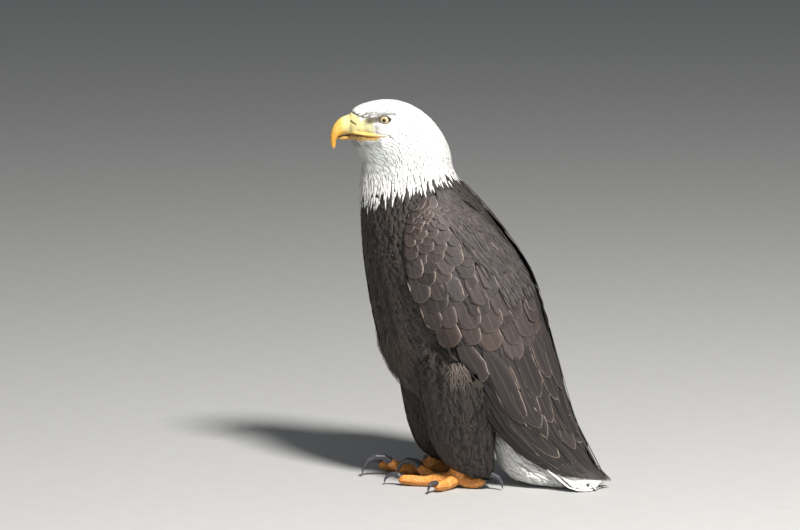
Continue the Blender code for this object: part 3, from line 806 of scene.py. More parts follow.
def add_lids(skin):
    """Joins a pair of raised, rounded lids to the skin round each eye."""
    around, across = 56, 9
    for name, side in SIDES:
        centre = middle(f"eye_{name}")
        turn = gaze_of(side).to_track_quat("Z", "Y").to_matrix()
        points, faces = [], []
        for i in range(around):
            bearing = 2 * math.pi * i / around
            for j in range(2 * across):
                under = j >= across
                share = (2 * across - 1 - j if under else j) / (across - 1)
                flat = turn @ Vector((math.cos(bearing), math.sin(bearing), 0))
                top = max(flat.z, 0)
                inner = LID_INNER - UPPER_LID_DROP * top**2
                angle = math.radians(inner + (LID_OUTER - inner) * share)
                rise = 0.0 if under else LID_RISE * math.sin(math.pi * share) ** 0.6 * (1 + 0.5 * top)
                reach = EYE_BALL + 0.0001 + rise + (0.0 if under else 0.00015)
                sin = math.sin(angle)
                along = Vector((math.cos(bearing) * sin, math.sin(bearing) * sin, math.cos(angle)))
                points.append(centre + turn @ along * reach)
        size = 2 * across
        for i in range(around):
            k = (i + 1) % around
            for j in range(size):
                m = (j + 1) % size
                faces.append((i * size + j, k * size + j, k * size + m, i * size + m))
        mesh = bpy.data.meshes.new("lids")
        mesh.from_pydata(points, [], faces)
        lids = bpy.data.objects.new("lids", mesh)
        bpy.context.scene.collection.objects.link(lids)
        edit_whole(lids, bpy.ops.mesh.normals_make_consistent, inside=False)
        join_to(skin, lids)


def make_skin(sizes, colours):
    nodes, voxel, smoothing = FORMS["whole"]
    skin = remeshed("skin", nodes, voxel, smoothing)
    refine_face(skin)
    surface = form("whole")
    points = mesh_points(skin.data)
    on_face = smoothstep(0.485, 0.50, points[:, 2])
    bare = bareness(points)
    sink(skin, surface, sizes.coat_depth * (1 - 0.55 * on_face) * (1 - 0.92 * bare))
    add_lids(skin)
    edit_whole(skin, bpy.ops.uv.smart_project, angle_limit=math.radians(66), island_margin=0.002)
    mesh = skin.data
    triangles = mesh_triangles(mesh)
    corners = np.empty(len(mesh.loop_triangles) * 3, dtype=np.int32)
    mesh.loop_triangles.foreach_get("loops", corners)
    uv = np.empty(len(mesh.loops) * 2)
    mesh.uv_layers.active.data.foreach_get("uv", uv)
    _unwrapped["places"] = uv.reshape(-1, 2)[corners].reshape(-1, 3, 2).mean(axis=1)
    _unwrapped["tree"] = BVHTree.FromPolygons(mesh_points(mesh).tolist(), triangles.tolist())
    points = mesh_points(mesh)
    white = smoothstep(-0.002, 0.004, plumage_line(points))
    _, outs = surface.nearest(points)
    rear = (points[:, 1] > 0.03) & (points[:, 2] < 0.105) & (np.abs(points[:, 0]) < 0.042)
    rear = rear & ((outs[:, 2] < 0.2) | (points[:, 2] < 0.022))
    white = np.maximum(white, rear)
    pale, dark = np.array(colours.white_skin), np.array(colours.dark_skin)
    painted = dark + (pale - dark) * white[:, None]
    on_face = (bareness(points) * (points[:, 2] > 0.50))[:, None]
    painted = painted + (face_colours(points, colours) - painted) * on_face
    lid = lid_share(points)[:, None]
    painted = painted + (lid_colours(points, colours) - painted) * lid
    paint(mesh, painted)
    mesh.shade_smooth()
    mesh.materials.append(skin_material())
    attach(skin, "root")
    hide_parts(*FLESH)


def skin_material():
    """Down and skin under the feathers, in the colour of what grows there."""
    material, tree, shader = new_material("Down", 0.85)
    noise = object_noise(tree, 260.0, 4.0)
    show_paint(tree, shader, noise, 0.88, 1.12)
    raise_surface(tree, shader, noise, 0.0002)
    return material


# ------------------------------------------------------------------------------- head, body and wings

SOFT = Vane((0, 0.3, 0.6, 0.8, 0.92, 1), (0.4, 0.9, 1, 0.88, 0.60, 0.16), across=2,
            thickness=0.00012, camber=0.02)
LANCE = Vane((0, 0.25, 0.55, 0.8, 1), (0.5, 1, 0.9, 0.5, 0.05), across=2, thickness=0.0002, camber=0.06)
FINE = Vane((0, 0.4, 0.8, 1), (0.7, 1, 0.75, 0.12), across=2, thickness=0.00012, camber=0.02)
HAIR = Vane((0, 0.35, 0.7, 1), (0.8, 1, 0.7, 0.1), across=2, thickness=0.00012, camber=0.0)


def body_flow(points):
    """Which way the feathers lie on the head, neck, trunk and thighs."""
    away = unit(points - BILL_BASE)
    distance = np.linalg.norm(points - BILL_BASE, axis=1)
    height = points[:, 2]
    back = 0.05 + 0.33 * (1 - smoothstep(0.34, 0.46, height)) - 0.22 * (1 - smoothstep(0.12, 0.22, height))
    fall = unit(np.stack((np.zeros(len(points)), back, -np.ones(len(points))), axis=1))
    share = smoothstep(0.05, 0.115, distance)[:, None]
    return away * (1 - share) + fall * share


def shades(rng, count, colour, spread, warm=0.0):
    """A colour for each feather: lighter or darker by about spread."""
    light = np.exp(rng.normal(0, spread, count))[:, None]
    tone = 1 + rng.normal(0, warm, count)[:, None] * np.array((1, 0, -1))
    return np.array(colour) * light * tone


def tinted(colour, spread, warm=0.0):
    """Lets grow give each feather its own shade of a colour."""
    return lambda points, rng: shades(rng, len(points), colour, spread, warm)


def grow(coat, surface, vane, wanted, spacing, length, width, colour, flow, seed,
         root, tip, turn, uneven, hide=0.004, locks=0.0, tight=0.0, loose=None):
    """Scatters feathers over a form and adds them to the coat. root and tip are heights over the form,
    turn and uneven how much feathers differ in direction and height. Feathers further than hide under
    the outline are left out. Locks are drawn together by the share tight, or loose further up."""
    rng = np.random.default_rng(seed)
    roots, outs = scatter(surface, spacing, wanted, seed)
    seen = form("whole").gaps(roots) < hide
    roots, outs = roots[seen], outs[seen]
    count = len(roots)
    lengths = at_each(length, roots) * np.exp(rng.normal(0, 0.10, count))
    line, up = spines(surface, roots, outs, flow, lengths, vane.stations, rng.normal(0, turn, count))
    if locks:
        share = np.full(count, tight)
        if loose is not None:
            share = loose + (tight - loose) * (1 - smoothstep(0.03, 0.055, plumage_line(roots)))
        line = gather(line, locks, share, seed)
    widths = at_each(width, roots) * np.exp(rng.normal(0, 0.10, count))
    points = feathers(vane, line, up, widths, lifts(vane, root, tip, uneven, count, rng), rng)
    coat.add(vane, points, up, colour(roots, rng), rng)


def near_face(points):
    """The distance from the nearest eye or the bill's base."""
    places = [np.array(middle("eye_left")), np.array(middle("eye_right")), BILL_BASE]
    return np.min([np.linalg.norm(points - place, axis=1) for place in places], axis=0)


def throat_shade(points):
    """Painted shade: slightly greyer feathers under the chin, for the shadow that the head and bill cast on
    the throat.
    """
    _, ahead, height = head_places(points)
    share = smoothstep(0.522, 0.508, height) * smoothstep(0.470, 0.490, height)
    share = share * smoothstep(0.022, 0.050, ahead)
    return 1 - share[:, None] * np.array((0.30, 0.26, 0.28))


def clear_of_eyes(points):
    return eye_angles(points)[1] > EYE_BALL + 0.0028


def make_head_coat(colours):
    """Short white feathers over the head, smallest round the bill and eyes, and sparse on the lores."""
    white = colours.white_feathers
    face_finish = feather_material("Face feathers", 0.75, white, rim_share=0.1, streak=0.04, barbs=6.0,
                                   shaft_dark=0.0, relief=0.00003, soft=0.8)

    def colour(points, rng):
        return shades(rng, len(points), white, 0.02) * throat_shade(points)

    def on_gape(points):
        _, ahead, height = head_places(points)
        return (np.abs(height - 0.5243) < 0.0034) & (ahead > 0.0375)

    def over_bare(points, length):
        """True where a feather would lie over the bare skin."""
        flow = body_flow(points)
        _, ahead, height = head_places(points)
        tongue = (ahead > 0.056) & (ahead < 0.0830) & (height > 0.5410) & (height < 0.5515)
        covered = np.max([bareness(points + flow * length * t) for t in np.linspace(0, 1, 5)], axis=0)
        return (covered > 0.35) | tongue

    def on_face(points):
        feathered = (near_face(points) < 0.032) & ~over_bare(points, 0.0055) & ~on_gape(points)
        return feathered & clear_of_eyes(points) & (head_places(points)[1] < 0.0985)

    def small(points):
        return smoothstep(0.008, 0.032, near_face(points))

    face = Coat()
    grow(face, form("face"), FINE, on_face, lambda p: 0.0013 + 0.0008 * small(p),
         lambda p: 0.0044 + 0.0066 * small(p), lambda p: 0.0020 + 0.0014 * small(p), colour, body_flow, 11,
         root=-0.0004, tip=0.00005, turn=0.08, uneven=0.00005)

    def past_rear(points):
        _, ahead, height = head_places(points)
        return ahead - along_outline(BARE_REAR, height)

    def bristly(points):
        _, ahead, height = head_places(points)
        lores = (bareness(points) > 0.4) & (past_rear(points) < 0.008) & (height > 0.5285) & (height < 0.5400)
        chin = (height < 0.5170) & (height > 0.5085) & (ahead > 0.052) & (ahead < 0.100)
        return (lores | chin) & clear_of_eyes(points)

    def bristle_spacing(points):
        return 0.0013 + 0.0025 * smoothstep(0.0, 0.008, past_rear(points)) * (points[:, 2] > 0.5200)

    grow(face, form("face"), HAIR, bristly, bristle_spacing, 0.0062, 0.0007, colour, body_flow, 16,
         root=-0.0002, tip=0.0012, turn=0.25, uneven=0.0001)
    face.build("face_feathers", face_finish)

    def behind_face(points):
        return (points[:, 2] > 0.480) & (near_face(points) > 0.029) & ~over_bare(points, 0.016)

    head = Coat()
    grow(head, form("body"), FINE, behind_face, 0.0024, 0.0150, 0.0044, colour, body_flow, 17,
         root=-0.0003, tip=0.00010, turn=0.06, uneven=0.00004)
    head.build("head_feathers", face_finish)


def make_neck_coat(colours):
    """White hackles, gathered into pointed locks along their lower edge."""
    coat = Coat()

    def wanted(points):
        return (points[:, 2] < 0.490) & (plumage_line(points) > 0.016)

    def low(points):
        return 1 - smoothstep(0.015, 0.06, plumage_line(points))

    def colour(points, rng):
        return shades(rng, len(points), colours.white_feathers, 0.03) * throat_shade(points)

    grow(coat, form("body"), LANCE, wanted, lambda p: 0.0030 + 0.0004 * low(p),
         lambda p: 0.020 + 0.012 * low(p), lambda p: 0.0050 + 0.0006 * low(p), colour, body_flow, 12,
         root=-0.0010, tip=0.0004, turn=0.08, locks=0.0085, tight=0.75, loose=0.06, uneven=0.0001)
    material = feather_material("Neck hackles", 0.72, colours.white_feathers, rim_share=0.1, streak=0.06,
                                shaft_dark=0.02, barbs=10.0, slant=0.8, relief=0.00008, soft=0.75)
    coat.build("neck_hackles", material)


def make_body_coat(sizes, colours):
    surface = form("body")
    material = feather_material("Body feathers", 0.68, colours.brown_rim, rim=0.0011, rim_share=0.85,
                                streak=0.18, barbs=22.0, slant=0.9, relief=0.0001, shaft_dark=0.15,
                                soft=0.9, centre=0.10)
    colour = tinted(colours.breast_feathers, 0.10, 0.03)

    def brown(points):
        return (plumage_line(points) < 0.020) & (points[:, 2] > TROUSERS_TOP)

    def trousers(points):
        return points[:, 2] <= TROUSERS_TOP

    def below_collar(points):
        return smoothstep(0.0, -0.09, plumage_line(points))

    breast = Coat()
    grow(breast, surface, SOFT, brown, sizes.breast_spacing, lambda p: 0.020 + 0.012 * below_collar(p),
         lambda p: 0.0095 + 0.0065 * below_collar(p), colour, body_flow, 13,
         root=-0.0011, tip=0.0001, turn=0.12, uneven=0.00006)
    breast.build("body_feathers", material)
    legs = Coat()
    grow(legs, surface, SOFT, trousers, sizes.breast_spacing,
         lambda p: np.minimum(0.036, 0.008 + p[:, 2] * 0.5), 0.0105, lambda p, r: colour(p, r) * 0.84,
         body_flow, 14, root=-0.0009, tip=0.0003, turn=0.14, uneven=0.00006, locks=0.011, tight=0.16)
    legs.build("leg_feathers", material)
    make_wisps(colours, material)


def make_wisps(colours, material):
    """The fringe of the lower belly and the tuft over each thigh."""
    tone = (np.array(colours.breast_feathers) + np.array(colours.brown_rim) * 2) / 3

    def belly(points):
        return (points[:, 2] > 0.175) & (points[:, 2] < 0.235) & (points[:, 1] < -0.085)

    def thigh(points):
        x, y, z = points.T
        return (np.abs(x) > 0.045) & (np.abs(y + 0.001) < 0.012) & (np.abs(z - 0.188) < 0.010)

    def downwards(points):
        return np.tile((0.0, 0.25, -1.0), (len(points), 1))

    wisps = Coat()
    grow(wisps, form("body"), HAIR, belly, 0.0036, 0.032, 0.0009, tinted(tone, 0.25), body_flow, 15,
         root=-0.0008, tip=0.0042, turn=0.35, uneven=0.0004, hide=0.012)
    grow(wisps, form("body"), HAIR, thigh, 0.0026, 0.032, 0.0010,
         lambda p, r: shades(r, len(p), colours.brown_rim, 0.3) * 1.3, downwards, 18,
         root=0.0005, tip=0.0055, turn=0.30, uneven=0.0005, hide=0.012)
    wisps.build("body_wisps", material)


def wing_places(place, chord):
    """Points by the left wing's back, at places along its rows and shares of its chord."""
    last = len(WING_ROWS) - 1
    place = np.clip(place, 0, last - 1e-6)
    first = np.floor(place).astype(int)
    t = (place - first)[..., None]
    p, a, b, n = (WING_ROWS[np.clip(first + k, 0, last)] for k in (-1, 0, 1, 2))
    bend = (2 * p - 5 * a + 4 * b - n) * t**2 + (3 * a - p - 3 * b + n) * t**3
    row = 0.5 * (2 * a + (b - p) * t + bend)
    lead, trail = row[..., 0:3], row[..., 3:6]
    chord = chord[..., None]
    bulge = row[..., 6:7] * 4 * chord * (1 - chord)
    return lead + (trail - lead) * chord + bulge * np.array((0.85, 0.35, 0.3))


def wing_lines(tip_place, tip_chord, lengths, stations, root_chord=None):
    """Spines on the left wing that end at the given places and chords."""
    back = 0.4
    stretch = wing_places(tip_place, tip_chord) - wing_places(tip_place - back, tip_chord)
    step = np.linalg.norm(stretch, axis=1)
    start = tip_place - lengths * back / step
    place = start[:, None] + (tip_place - start)[:, None] * stations
    root_chord = tip_chord if root_chord is None else root_chord
    chord = root_chord[:, None] + (tip_chord - root_chord)[:, None] * stations
    guess = wing_places(place, chord)
    line, up = form("wing").nearest(guess.reshape(-1, 3))
    return line.reshape(guess.shape), up.reshape(guess.shape)


def chord_length(place):
    lead = wing_places(np.array([place]), np.array([0.02]))
    mid = wing_places(np.array([place]), np.array([0.5]))
    trail = wing_places(np.array([place]), np.array([0.98]))
    return float(np.linalg.norm(mid - lead) + np.linalg.norm(trail - mid))


COVERT = Vane((0, 0.15, 0.40, 0.66, 0.82, 0.92, 0.975, 1), (0.35, 0.7, 0.95, 1, 0.93, 0.74, 0.44, 0.12),
              across=6, thickness=0.0004, camber=0.03)
QUILL = Vane(
    (0, 0.08, 0.2, 0.35, 0.5, 0.65, 0.78, 0.88, 0.94, 0.98, 1),
    (0.15, 0.5, 0.8, 0.95, 1, 0.97, 0.86, 0.66, 0.46, 0.24, 0.08),
    across=6, thickness=0.0006, camber=0.05,
)
COVERT_ROWS = (
    # tip place at the leading edge, feather length, width
    (0.70, 0.024, 0.014), (0.86, 0.025, 0.015), (1.03, 0.026, 0.016), (1.21, 0.028, 0.017),
    (1.40, 0.030, 0.018), (1.61, 0.032, 0.020), (1.83, 0.034, 0.022), (2.07, 0.036, 0.024),
    (2.33, 0.039, 0.026), (2.61, 0.042, 0.028), (2.91, 0.046, 0.030), (3.23, 0.050, 0.032),
    (3.57, 0.054, 0.033), (3.92, 0.058, 0.034), (4.28, 0.062, 0.034), (4.66, 0.066, 0.034),
    (5.20, 0.074, 0.034),
)


TERTIALS = (
    # tip place, share of the chord there, feather length
    (8.6, 0.88, 0.14), (8.8, 0.39, 0.16), (8.7, 0.73, 0.16), (8.4, 0.56, 0.15), (7.9, 0.80, 0.13),
    (8.0, 0.46, 0.14), (7.6, 0.63, 0.12), (7.7, 0.93, 0.12), (7.6, 0.47, 0.12), (7.1, 0.82, 0.11),
    (6.8, 0.62, 0.10), (6.5, 0.81, 0.09), (7.3, 0.33, 0.12), (6.9, 0.94, 0.10),
)


def add_wing_feathers(coat, vane, tips, lengths, widths, root, tip, colour, rng, side, root_chord=None,
                      uneven=0.0002):
    """Adds feathers that end at the tips, each a place along the wing's rows and a share of its chord."""
    line, up = wing_lines(tips[:, 0], tips[:, 1], lengths, vane.stations, root_chord)
    points = feathers(vane, line, up, widths, lifts(vane, root, tip, uneven, len(tips), rng), rng)
    coat.add(vane, points, up, colour, rng, side)


def add_coverts(coat, colours, rng, side):
    """Rows of coverts, each ending on a curve that falls towards the wing's rear edge. Every second row
    is set half a feather over, and the lowest row is short."""
    for k, (start, length, width) in enumerate(COVERT_ROWS):
        lowest = k == len(COVERT_ROWS) - 1
        slope = (4.6 if lowest else 3.0) * (0.35 + 0.65 * smoothstep(0.8, 3.2, start))
        power = 1.1 if lowest else 1.8
        last = 0.50 if lowest else 0.94
        chords, c = [], 0.01 + 0.5 * (k % 2) * width / chord_length(start + 1)
        while c < last:
            chords.append(c)
            c += 0.80 * width / chord_length(min(start + slope * c**power, 8))
        chords = np.array(chords) + rng.normal(0, 0.010, len(chords))
        places = start + slope * np.maximum(chords, 0) ** power + rng.normal(0, 0.05, len(chords))
        tips = np.stack((places, chords), axis=1)
        count = len(tips)
        tints = shades(rng, count, colours.brown_feathers, 0.18, 0.03)
        rise = 0.0022 - 0.0014 * k / len(COVERT_ROWS)
        add_wing_feathers(coat, COVERT, tips, length * np.exp(rng.normal(0, 0.06, count)),
                          width * np.exp(rng.normal(0, 0.07, count)), rise - 0.0030, rise, tints, rng, side,
                          uneven=0.00022)


def add_tertials(coat, colours, rng, side):
    """Long broad feathers over the wing's rear, each a little further out than the one before."""
    tone = np.array(colours.dark_feathers) * 0.65 + np.array(colours.brown_feathers) * 0.35
    for i, (place, chord, length) in enumerate(TERTIALS):
        add_wing_feathers(coat, QUILL, np.array(((place, chord),)), np.full(1, length), np.full(1, 0.034),
                          -0.0026 + 0.0002 * i, 0.0012 + 0.0002 * i, shades(rng, 1, tone, 0.12), rng, side)


def add_flight_feathers(coat, colours, rng, side):
    """The primaries, which reach the wing's tip, and the secondaries over their roots."""
    primaries, secondaries = 13, 11
    chords = np.linspace(0.0, 0.90, primaries)
    tips = np.stack((np.linspace(9.8, 11.2, primaries), 0.06 + chords * 1.02), axis=1)
    add_wing_feathers(coat, QUILL, tips, np.linspace(0.30, 0.36, primaries), np.full(primaries, 0.022),
                      -0.003, 0.0006, shades(rng, primaries, colours.dark_feathers, 0.10), rng, side,
                      root_chord=chords)
    chords = np.linspace(0.06, 0.97, secondaries)
    tips = np.stack((8.7 + 0.5 * np.sin(chords * 3.1), chords), axis=1)
    add_wing_feathers(coat, QUILL, tips, np.full(secondaries, 0.20), np.full(secondaries, 0.028),
                      -0.003, 0.0008, shades(rng, secondaries, colours.dark_feathers, 0.12), rng, side)


def add_scapulars(coat, colours, rng, side):
    """Lance-shaped feathers of the shoulder, in even steps over the wing's rear part."""
    tips = []
    for place in np.arange(0.7, 4.7, 0.085):
        first = 0.54 + 0.12 * smoothstep(2.5, 4.6, place)
        for c in np.arange(first, 1.0, 0.0048 / chord_length(place)):
            tips.append((place, c))
    tips = np.array(tips) + rng.normal(0, 1, (len(tips), 2)) * (0.06, 0.012)
    count = len(tips)
    add_wing_feathers(coat, LANCE, tips, 0.042 * np.exp(rng.normal(0, 0.15, count)),
                      0.0062 * np.exp(rng.normal(0, 0.15, count)), 0.0006, 0.0023,
                      shades(rng, count, colours.scapulars, 0.13, 0.03), rng, side)


def make_wing_coats(colours):
    covert_finish = feather_material("Wing coverts", 0.55, colours.tan_rim, rim=0.0013, rim_share=0.95,
                                     streak=0.12, barbs=34.0, slant=0.6, relief=0.0001, shaft_dark=0.3,
                                     centre=0.22)
    quill_finish = feather_material("Flight feathers", 0.48, colours.tan_rim, rim=0.0007, rim_share=0.40,
                                    streak=0.14, barbs=90.0, slant=0.25, relief=0.00012, shaft_dark=0.4,
                                    soft=0.3, centre=0.15)
    scapular_finish = feather_material("Scapulars", 0.62, colours.brown_rim, rim=0.0005, rim_share=0.45,
                                       streak=0.30, barbs=10.0, slant=1.4, relief=0.0001, shaft_dark=0.2,
                                       soft=0.75)
    for name, side in SIDES:
        rng = np.random.default_rng(50 + side)
        coverts = Coat()
        add_coverts(coverts, colours, rng, side)
        add_tertials(coverts, colours, rng, side)
        coverts.build(f"wing_coverts_{name}", covert_finish)
        quills = Coat()
        add_flight_feathers(quills, colours, rng, side)
        quills.build(f"flight_feathers_{name}", quill_finish)
        scapulars = Coat()
        add_scapulars(scapulars, colours, rng, side)
        scapulars.build(f"scapulars_{name}", scapular_finish)


def make_tail_coats(colours):
    # The grey rims are painted shade, for the slits between the white feathers
    material = feather_material("Tail feathers", 0.6, colours.slit_shade, rim=0.0004, rim_share=0.35,
                                streak=0.08, barbs=30.0, slant=0.6, relief=0.0001, shaft_dark=0.1)
    rng = np.random.default_rng(70)
    tail = Coat()
    surface = form("tail")
    low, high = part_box("tail")
    count = 12
    order = np.argsort(-np.abs(np.arange(count) - (count - 1) / 2))
    share = (np.arange(count) / (count - 1) * 2 - 1)[order]
    stations = QUILL.stations
    start_y, end_y = low.y + 0.03, high.y + 0.004 - 0.012 * share**2
    y = start_y + (end_y[:, None] - start_y) * stations
    cuts = np.linspace(low.y + 0.004, high.y - 0.002, 24)
    near = [surface.points[np.abs(surface.points[:, 1] - cut) < 0.005] for cut in cuts]
    spread = np.interp(y, cuts, [np.abs(points[:, 0]).max() for points in near])
    floor = np.interp(y, cuts, [points[:, 2].min() for points in near])
    level = np.arange(count)[:, None] / count * 0.0022
    line = np.stack((share[:, None] * (spread - 0.010), y, floor + 0.0014 + level), axis=-1)
    up = np.broadcast_to(np.array((0.0, 0.0, 1.0)), line.shape)
    lift = np.zeros((count, len(stations)))
    tail.add(QUILL, feathers(QUILL, line, up, np.full(count, 0.026), lift, rng), up,
             shades(rng, count, colours.white_feathers, 0.05), rng)
    tail.build("tail_feathers", material)

    def flow(points):
        return np.tile((0.0, 0.85, -0.55), (len(points), 1))

    plumes = Coat()
    grow(plumes, form("undertail"), LANCE, lambda p: p[:, 2] > 0.002, 0.0055, 0.034, 0.0085,
         tinted(colours.white_feathers, 0.05), flow, 71, root=-0.0015, tip=0.0012, turn=0.15,
         uneven=0.0002, hide=0.006, locks=0.013, tight=0.5)
    plumes.build("undertail_plumes", material)


# ---------------------------------------------------------------------------- bill, eyes, feet, claws


def head_front(name, ahead, low, high):
    """The closed front of the head, cut off behind and at two heights."""
    part = cad_copy(name, ("head",))
    forwards = Matrix.Rotation(HEAD_TURN, 3, "Z") @ Vector((0, -1, 0))
    cuts = (
        # a point on the cut and the direction that is kept
        (NECK_AXIS + forwards * ahead, forwards),
        (Vector((0, 0, low)), Vector((0, 0, 1))),
        (Vector((0, 0, high)), Vector((0, 0, -1))),
    )
    alone(part)
    bpy.ops.object.mode_set(mode="EDIT")
    for place, kept in cuts:
        bpy.ops.mesh.select_all(action="SELECT")
        bpy.ops.mesh.bisect(plane_co=place, plane_no=kept, use_fill=True, clear_inner=True)
    bpy.ops.object.mode_set(mode="OBJECT")
    return part


def make_bill(colours):
    """The upper and the lower bill, each continued by the bare skin that it grows from."""
    pieces = (
        # name, CAD node, how far back the bare skin goes, its lowest and highest place
        ("bill_upper", "upper_bill", 0.0860, 0.5226, 0.5545),
        ("bill_lower", "lower_bill", 0.0700, 0.5132, 0.5222),
    )
    skin_form = Form(bpy.data.objects["skin"].data)
    material = bill_material()
    for name, cad, ahead, low, high in pieces:
        skin = head_front(name, ahead, low, high)
        apply_modifier(skin, "DISPLACE", strength=0.0005, mid_level=0)
        obj = cad_copy(name, (cad,))
        join_to(obj, skin)
        obj.name = name
        apply_modifier(obj, "REMESH", mode="VOXEL", voxel_size=BILL_VOXEL)
        apply_modifier(obj, "SMOOTH", factor=0.5, iterations=5)
        smooth_seam(obj)
        points = mesh_points(obj.data)
        if name == "bill_upper":
            points = ease_into_head(points, skin_form, 0.0955, 0.0882)
            points = cut_nostril(points, form("face"))
        else:
            points = ease_into_head(points, skin_form, 0.0790, 0.0722)
        move_points(obj.data, points)
        paint(obj.data, face_colours(points, colours))
        obj.data.shade_smooth()
        obj.data.materials.append(material)
        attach(obj, "root")
        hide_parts(cad)


def smooth_seam(obj):
    """Smooths the step between the horn and the skin behind it."""
    _, ahead, _ = head_places(mesh_points(obj.data))
    near = smoothstep(0.014, 0.007, np.abs(ahead - SEAM_AHEAD))
    group = obj.vertex_groups.new(name="seam")
    for level in np.linspace(0.1, 1.0, 10):
        inside = np.flatnonzero((near > level - 0.1) & (near <= level))
        group.add(inside.tolist(), float(level), "REPLACE")
    apply_modifier(obj, "SMOOTH", factor=0.5, iterations=220, vertex_group="seam")
    obj.vertex_groups.clear()


def ease_into_head(points, skin, start, end):
    """Lets the bare skin behind a bill sink into the skin of the head, between two places ahead of the
    neck. The corners of the gape stay."""
    _, ahead, height = head_places(points)
    found, outs = skin.nearest(points)
    corner = (height > 0.5222) & (height < 0.5290)
    gape = corner * smoothstep(0.5215, 0.5228, height) * smoothstep(0.5295, 0.5272, height)
    share = smoothstep(start, end, ahead) * (1 - gape)
    sunk = found + outs * (0.0001 - 0.0012 * smoothstep(end + 0.0015, end - 0.002, ahead))[:, None]
    return points + (sunk - points) * share[:, None]


def cut_nostril(points, surface):
    """Sinks the slit of each nostril."""
    _, outs = surface.nearest(points)
    return points - outs * (0.0016 * smoothstep(0.0018, 0.0006, from_nostril(points)))[:, None]


def bill_material():
    """Horn with faint growth lines, in the colours painted on the piece."""
    material, tree, shader = new_material("Bill horn", 0.34)
    show_paint(tree, shader, object_noise(tree, 110.0, 5.0), 0.90, 1.08)
    lines = object_noise(tree, 420.0, 3.0)
    tree.links.new(fade(tree, lines, 0.3, 0.7, 0.28, 0.44), shader.inputs["Roughness"])
    raise_surface(tree, shader, lines, 0.00012)
    shader.inputs["Subsurface Weight"].default_value = 0.12
    shader.inputs["Subsurface Radius"].default_value = (0.003, 0.0015, 0.0006)
    return material


def make_eyes(colours):
    material = eye_material(colours)
    for name, side in SIDES:
        bpy.ops.object.select_all(action="DESELECT")
        bpy.ops.mesh.primitive_uv_sphere_add(segments=48, ring_count=48, radius=EYE_BALL)
        eye = bpy.context.active_object
        eye.name = f"eyeball_{name}"
        turn = gaze_of(side).to_track_quat("Z", "Y").to_matrix().to_4x4()
        points = mesh_points(eye.data)
        angle = np.degrees(np.arccos(np.clip(points[:, 2] / EYE_BALL, -1, 1)))
        keep_values(eye.data, "Iris", "FLOAT", "value", angle)
        eye.data.transform(Matrix.Translation(middle(f"eye_{name}")) @ turn)
        eye.data.shade_smooth()
        eye.data.materials.append(material)
        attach(eye, "root")
        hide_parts(f"eye_{name}")


def eye_material(colours):
    """The pupil, the flecked iris and its dark rim, by the angle from the gaze."""
    material, tree, shader = new_material("Eye", 0.08)
    angle = node(tree, "Attribute", attribute_name="Iris").outputs["Fac"]
    pupil = fade(tree, angle, PUPIL_ANGLE - 1.0, PUPIL_ANGLE + 1.0)
    rim = fade(tree, angle, IRIS_ANGLE - 6.0, IRIS_ANGLE - 1.0)
    fleck = object_noise(tree, 900.0, 3.0)
    inner = fade(tree, angle, PUPIL_ANGLE, PUPIL_ANGLE + 12.0, 0.55, 0.0)
    iris = mixed(tree, fade(tree, fleck, 0.35, 0.7, 0.0, 0.35), rgb(colours.iris), rgb(colours.iris_fleck))
    iris = mixed(tree, inner, iris, rgb(colours.iris_fleck))
    iris = mixed(tree, pupil, rgb((0.004, 0.004, 0.004)), iris)
    tree.links.new(mixed(tree, rim, iris, rgb(colours.eye_ring)), shader.inputs["Base Color"])
    shader.inputs["Coat Weight"].default_value = 1.0
    shader.inputs["Coat Roughness"].default_value = 0.02
    return material


def cell_edges(points, size):
    """0 on the edges of irregular cells of about the given size, 1 inside them."""
    found = np.empty(len(points))
    for i, point in enumerate((points / size).tolist()):
        distances = voronoi(point)[0]
        found[i] = distances[1] - distances[0]
    return smoothstep(0.04, 0.30, found)


def toe_scales(points, outs, name):
    """How far scales stand out: broad plates across the toes' tops, granules elsewhere."""
    ankle = points[points[:, 2] > points[:, 2].max() - 0.006].mean(axis=0)
    best, run = np.full(len(points), 1.0), np.zeros(len(points))
    for toe in TOES:
        low, high = (np.array(corner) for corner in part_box(f"claw_{name}_{toe}"))
        ends = np.array([(x, y) for x in (low[0], high[0]) for y in (low[1], high[1])])
        near = ends[np.linalg.norm(ends - ankle[:2], axis=1).argmin()]
        line = near - ankle[:2]
        reach = np.linalg.norm(line)
        along = (points[:, :2] - ankle[:2]) @ (line / reach)
        off = np.abs((points[:, :2] - ankle[:2]) @ (np.array((-line[1], line[0])) / reach))
        away = np.where(along > 0, off, 1.0)
        closer = away < best
        best, run = np.where(closer, away, best), np.where(closer, along + off**2 * 25, run)
    wave = np.abs(2 * np.mod(run / 0.0042, 1) - 1)
    plates = 1 - smoothstep(0.66, 0.98, wave)
    above = smoothstep(0.45, 0.75, outs[:, 2]) * smoothstep(0.018, 0.026, run)
    granules = cell_edges(points, 0.0024)
    return granules + (plates - granules) * above


def make_feet(colours):
    material = foot_material()
    for name, _ in SIDES:
        obj = remeshed(f"foot_skin_{name}", (f"foot_{name}",), 0.0009, 5)
        surface = Form(obj.data)
        points = mesh_points(obj.data)
        _, outs = surface.nearest(points)
        scales = toe_scales(points, outs, name)
        points = points + outs * ((scales - 0.7) * 0.0006)[:, None]
        points[:, 2] = np.maximum(points[:, 2], 0)
        move_points(obj.data, points)
        # Painted shade: the creases between the scales are darker, and the undersides of the toes a quarter
        # darker again
        crease, full = np.array(colours.foot_crease_shade), np.array(colours.foot)
        under = smoothstep(0.1, -0.7, outs[:, 2])[:, None]
        paint(obj.data, (crease + (full - crease) * (0.25 + 0.75 * scales)[:, None]) * (1 - 0.25 * under))
        obj.data.shade_smooth()
        obj.data.materials.append(material)
        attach(obj, "root")
        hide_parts(f"foot_{name}")


def foot_material():
    """Scales with a fine grain, in the colours painted on the piece."""
    material, tree, shader = new_material("Foot scales", 0.45)
    show_paint(tree, shader, object_noise(tree, 160.0, 4.0), 0.85, 1.15)
    raise_surface(tree, shader, object_noise(tree, 900.0, 3.0), 0.00015)
    return material


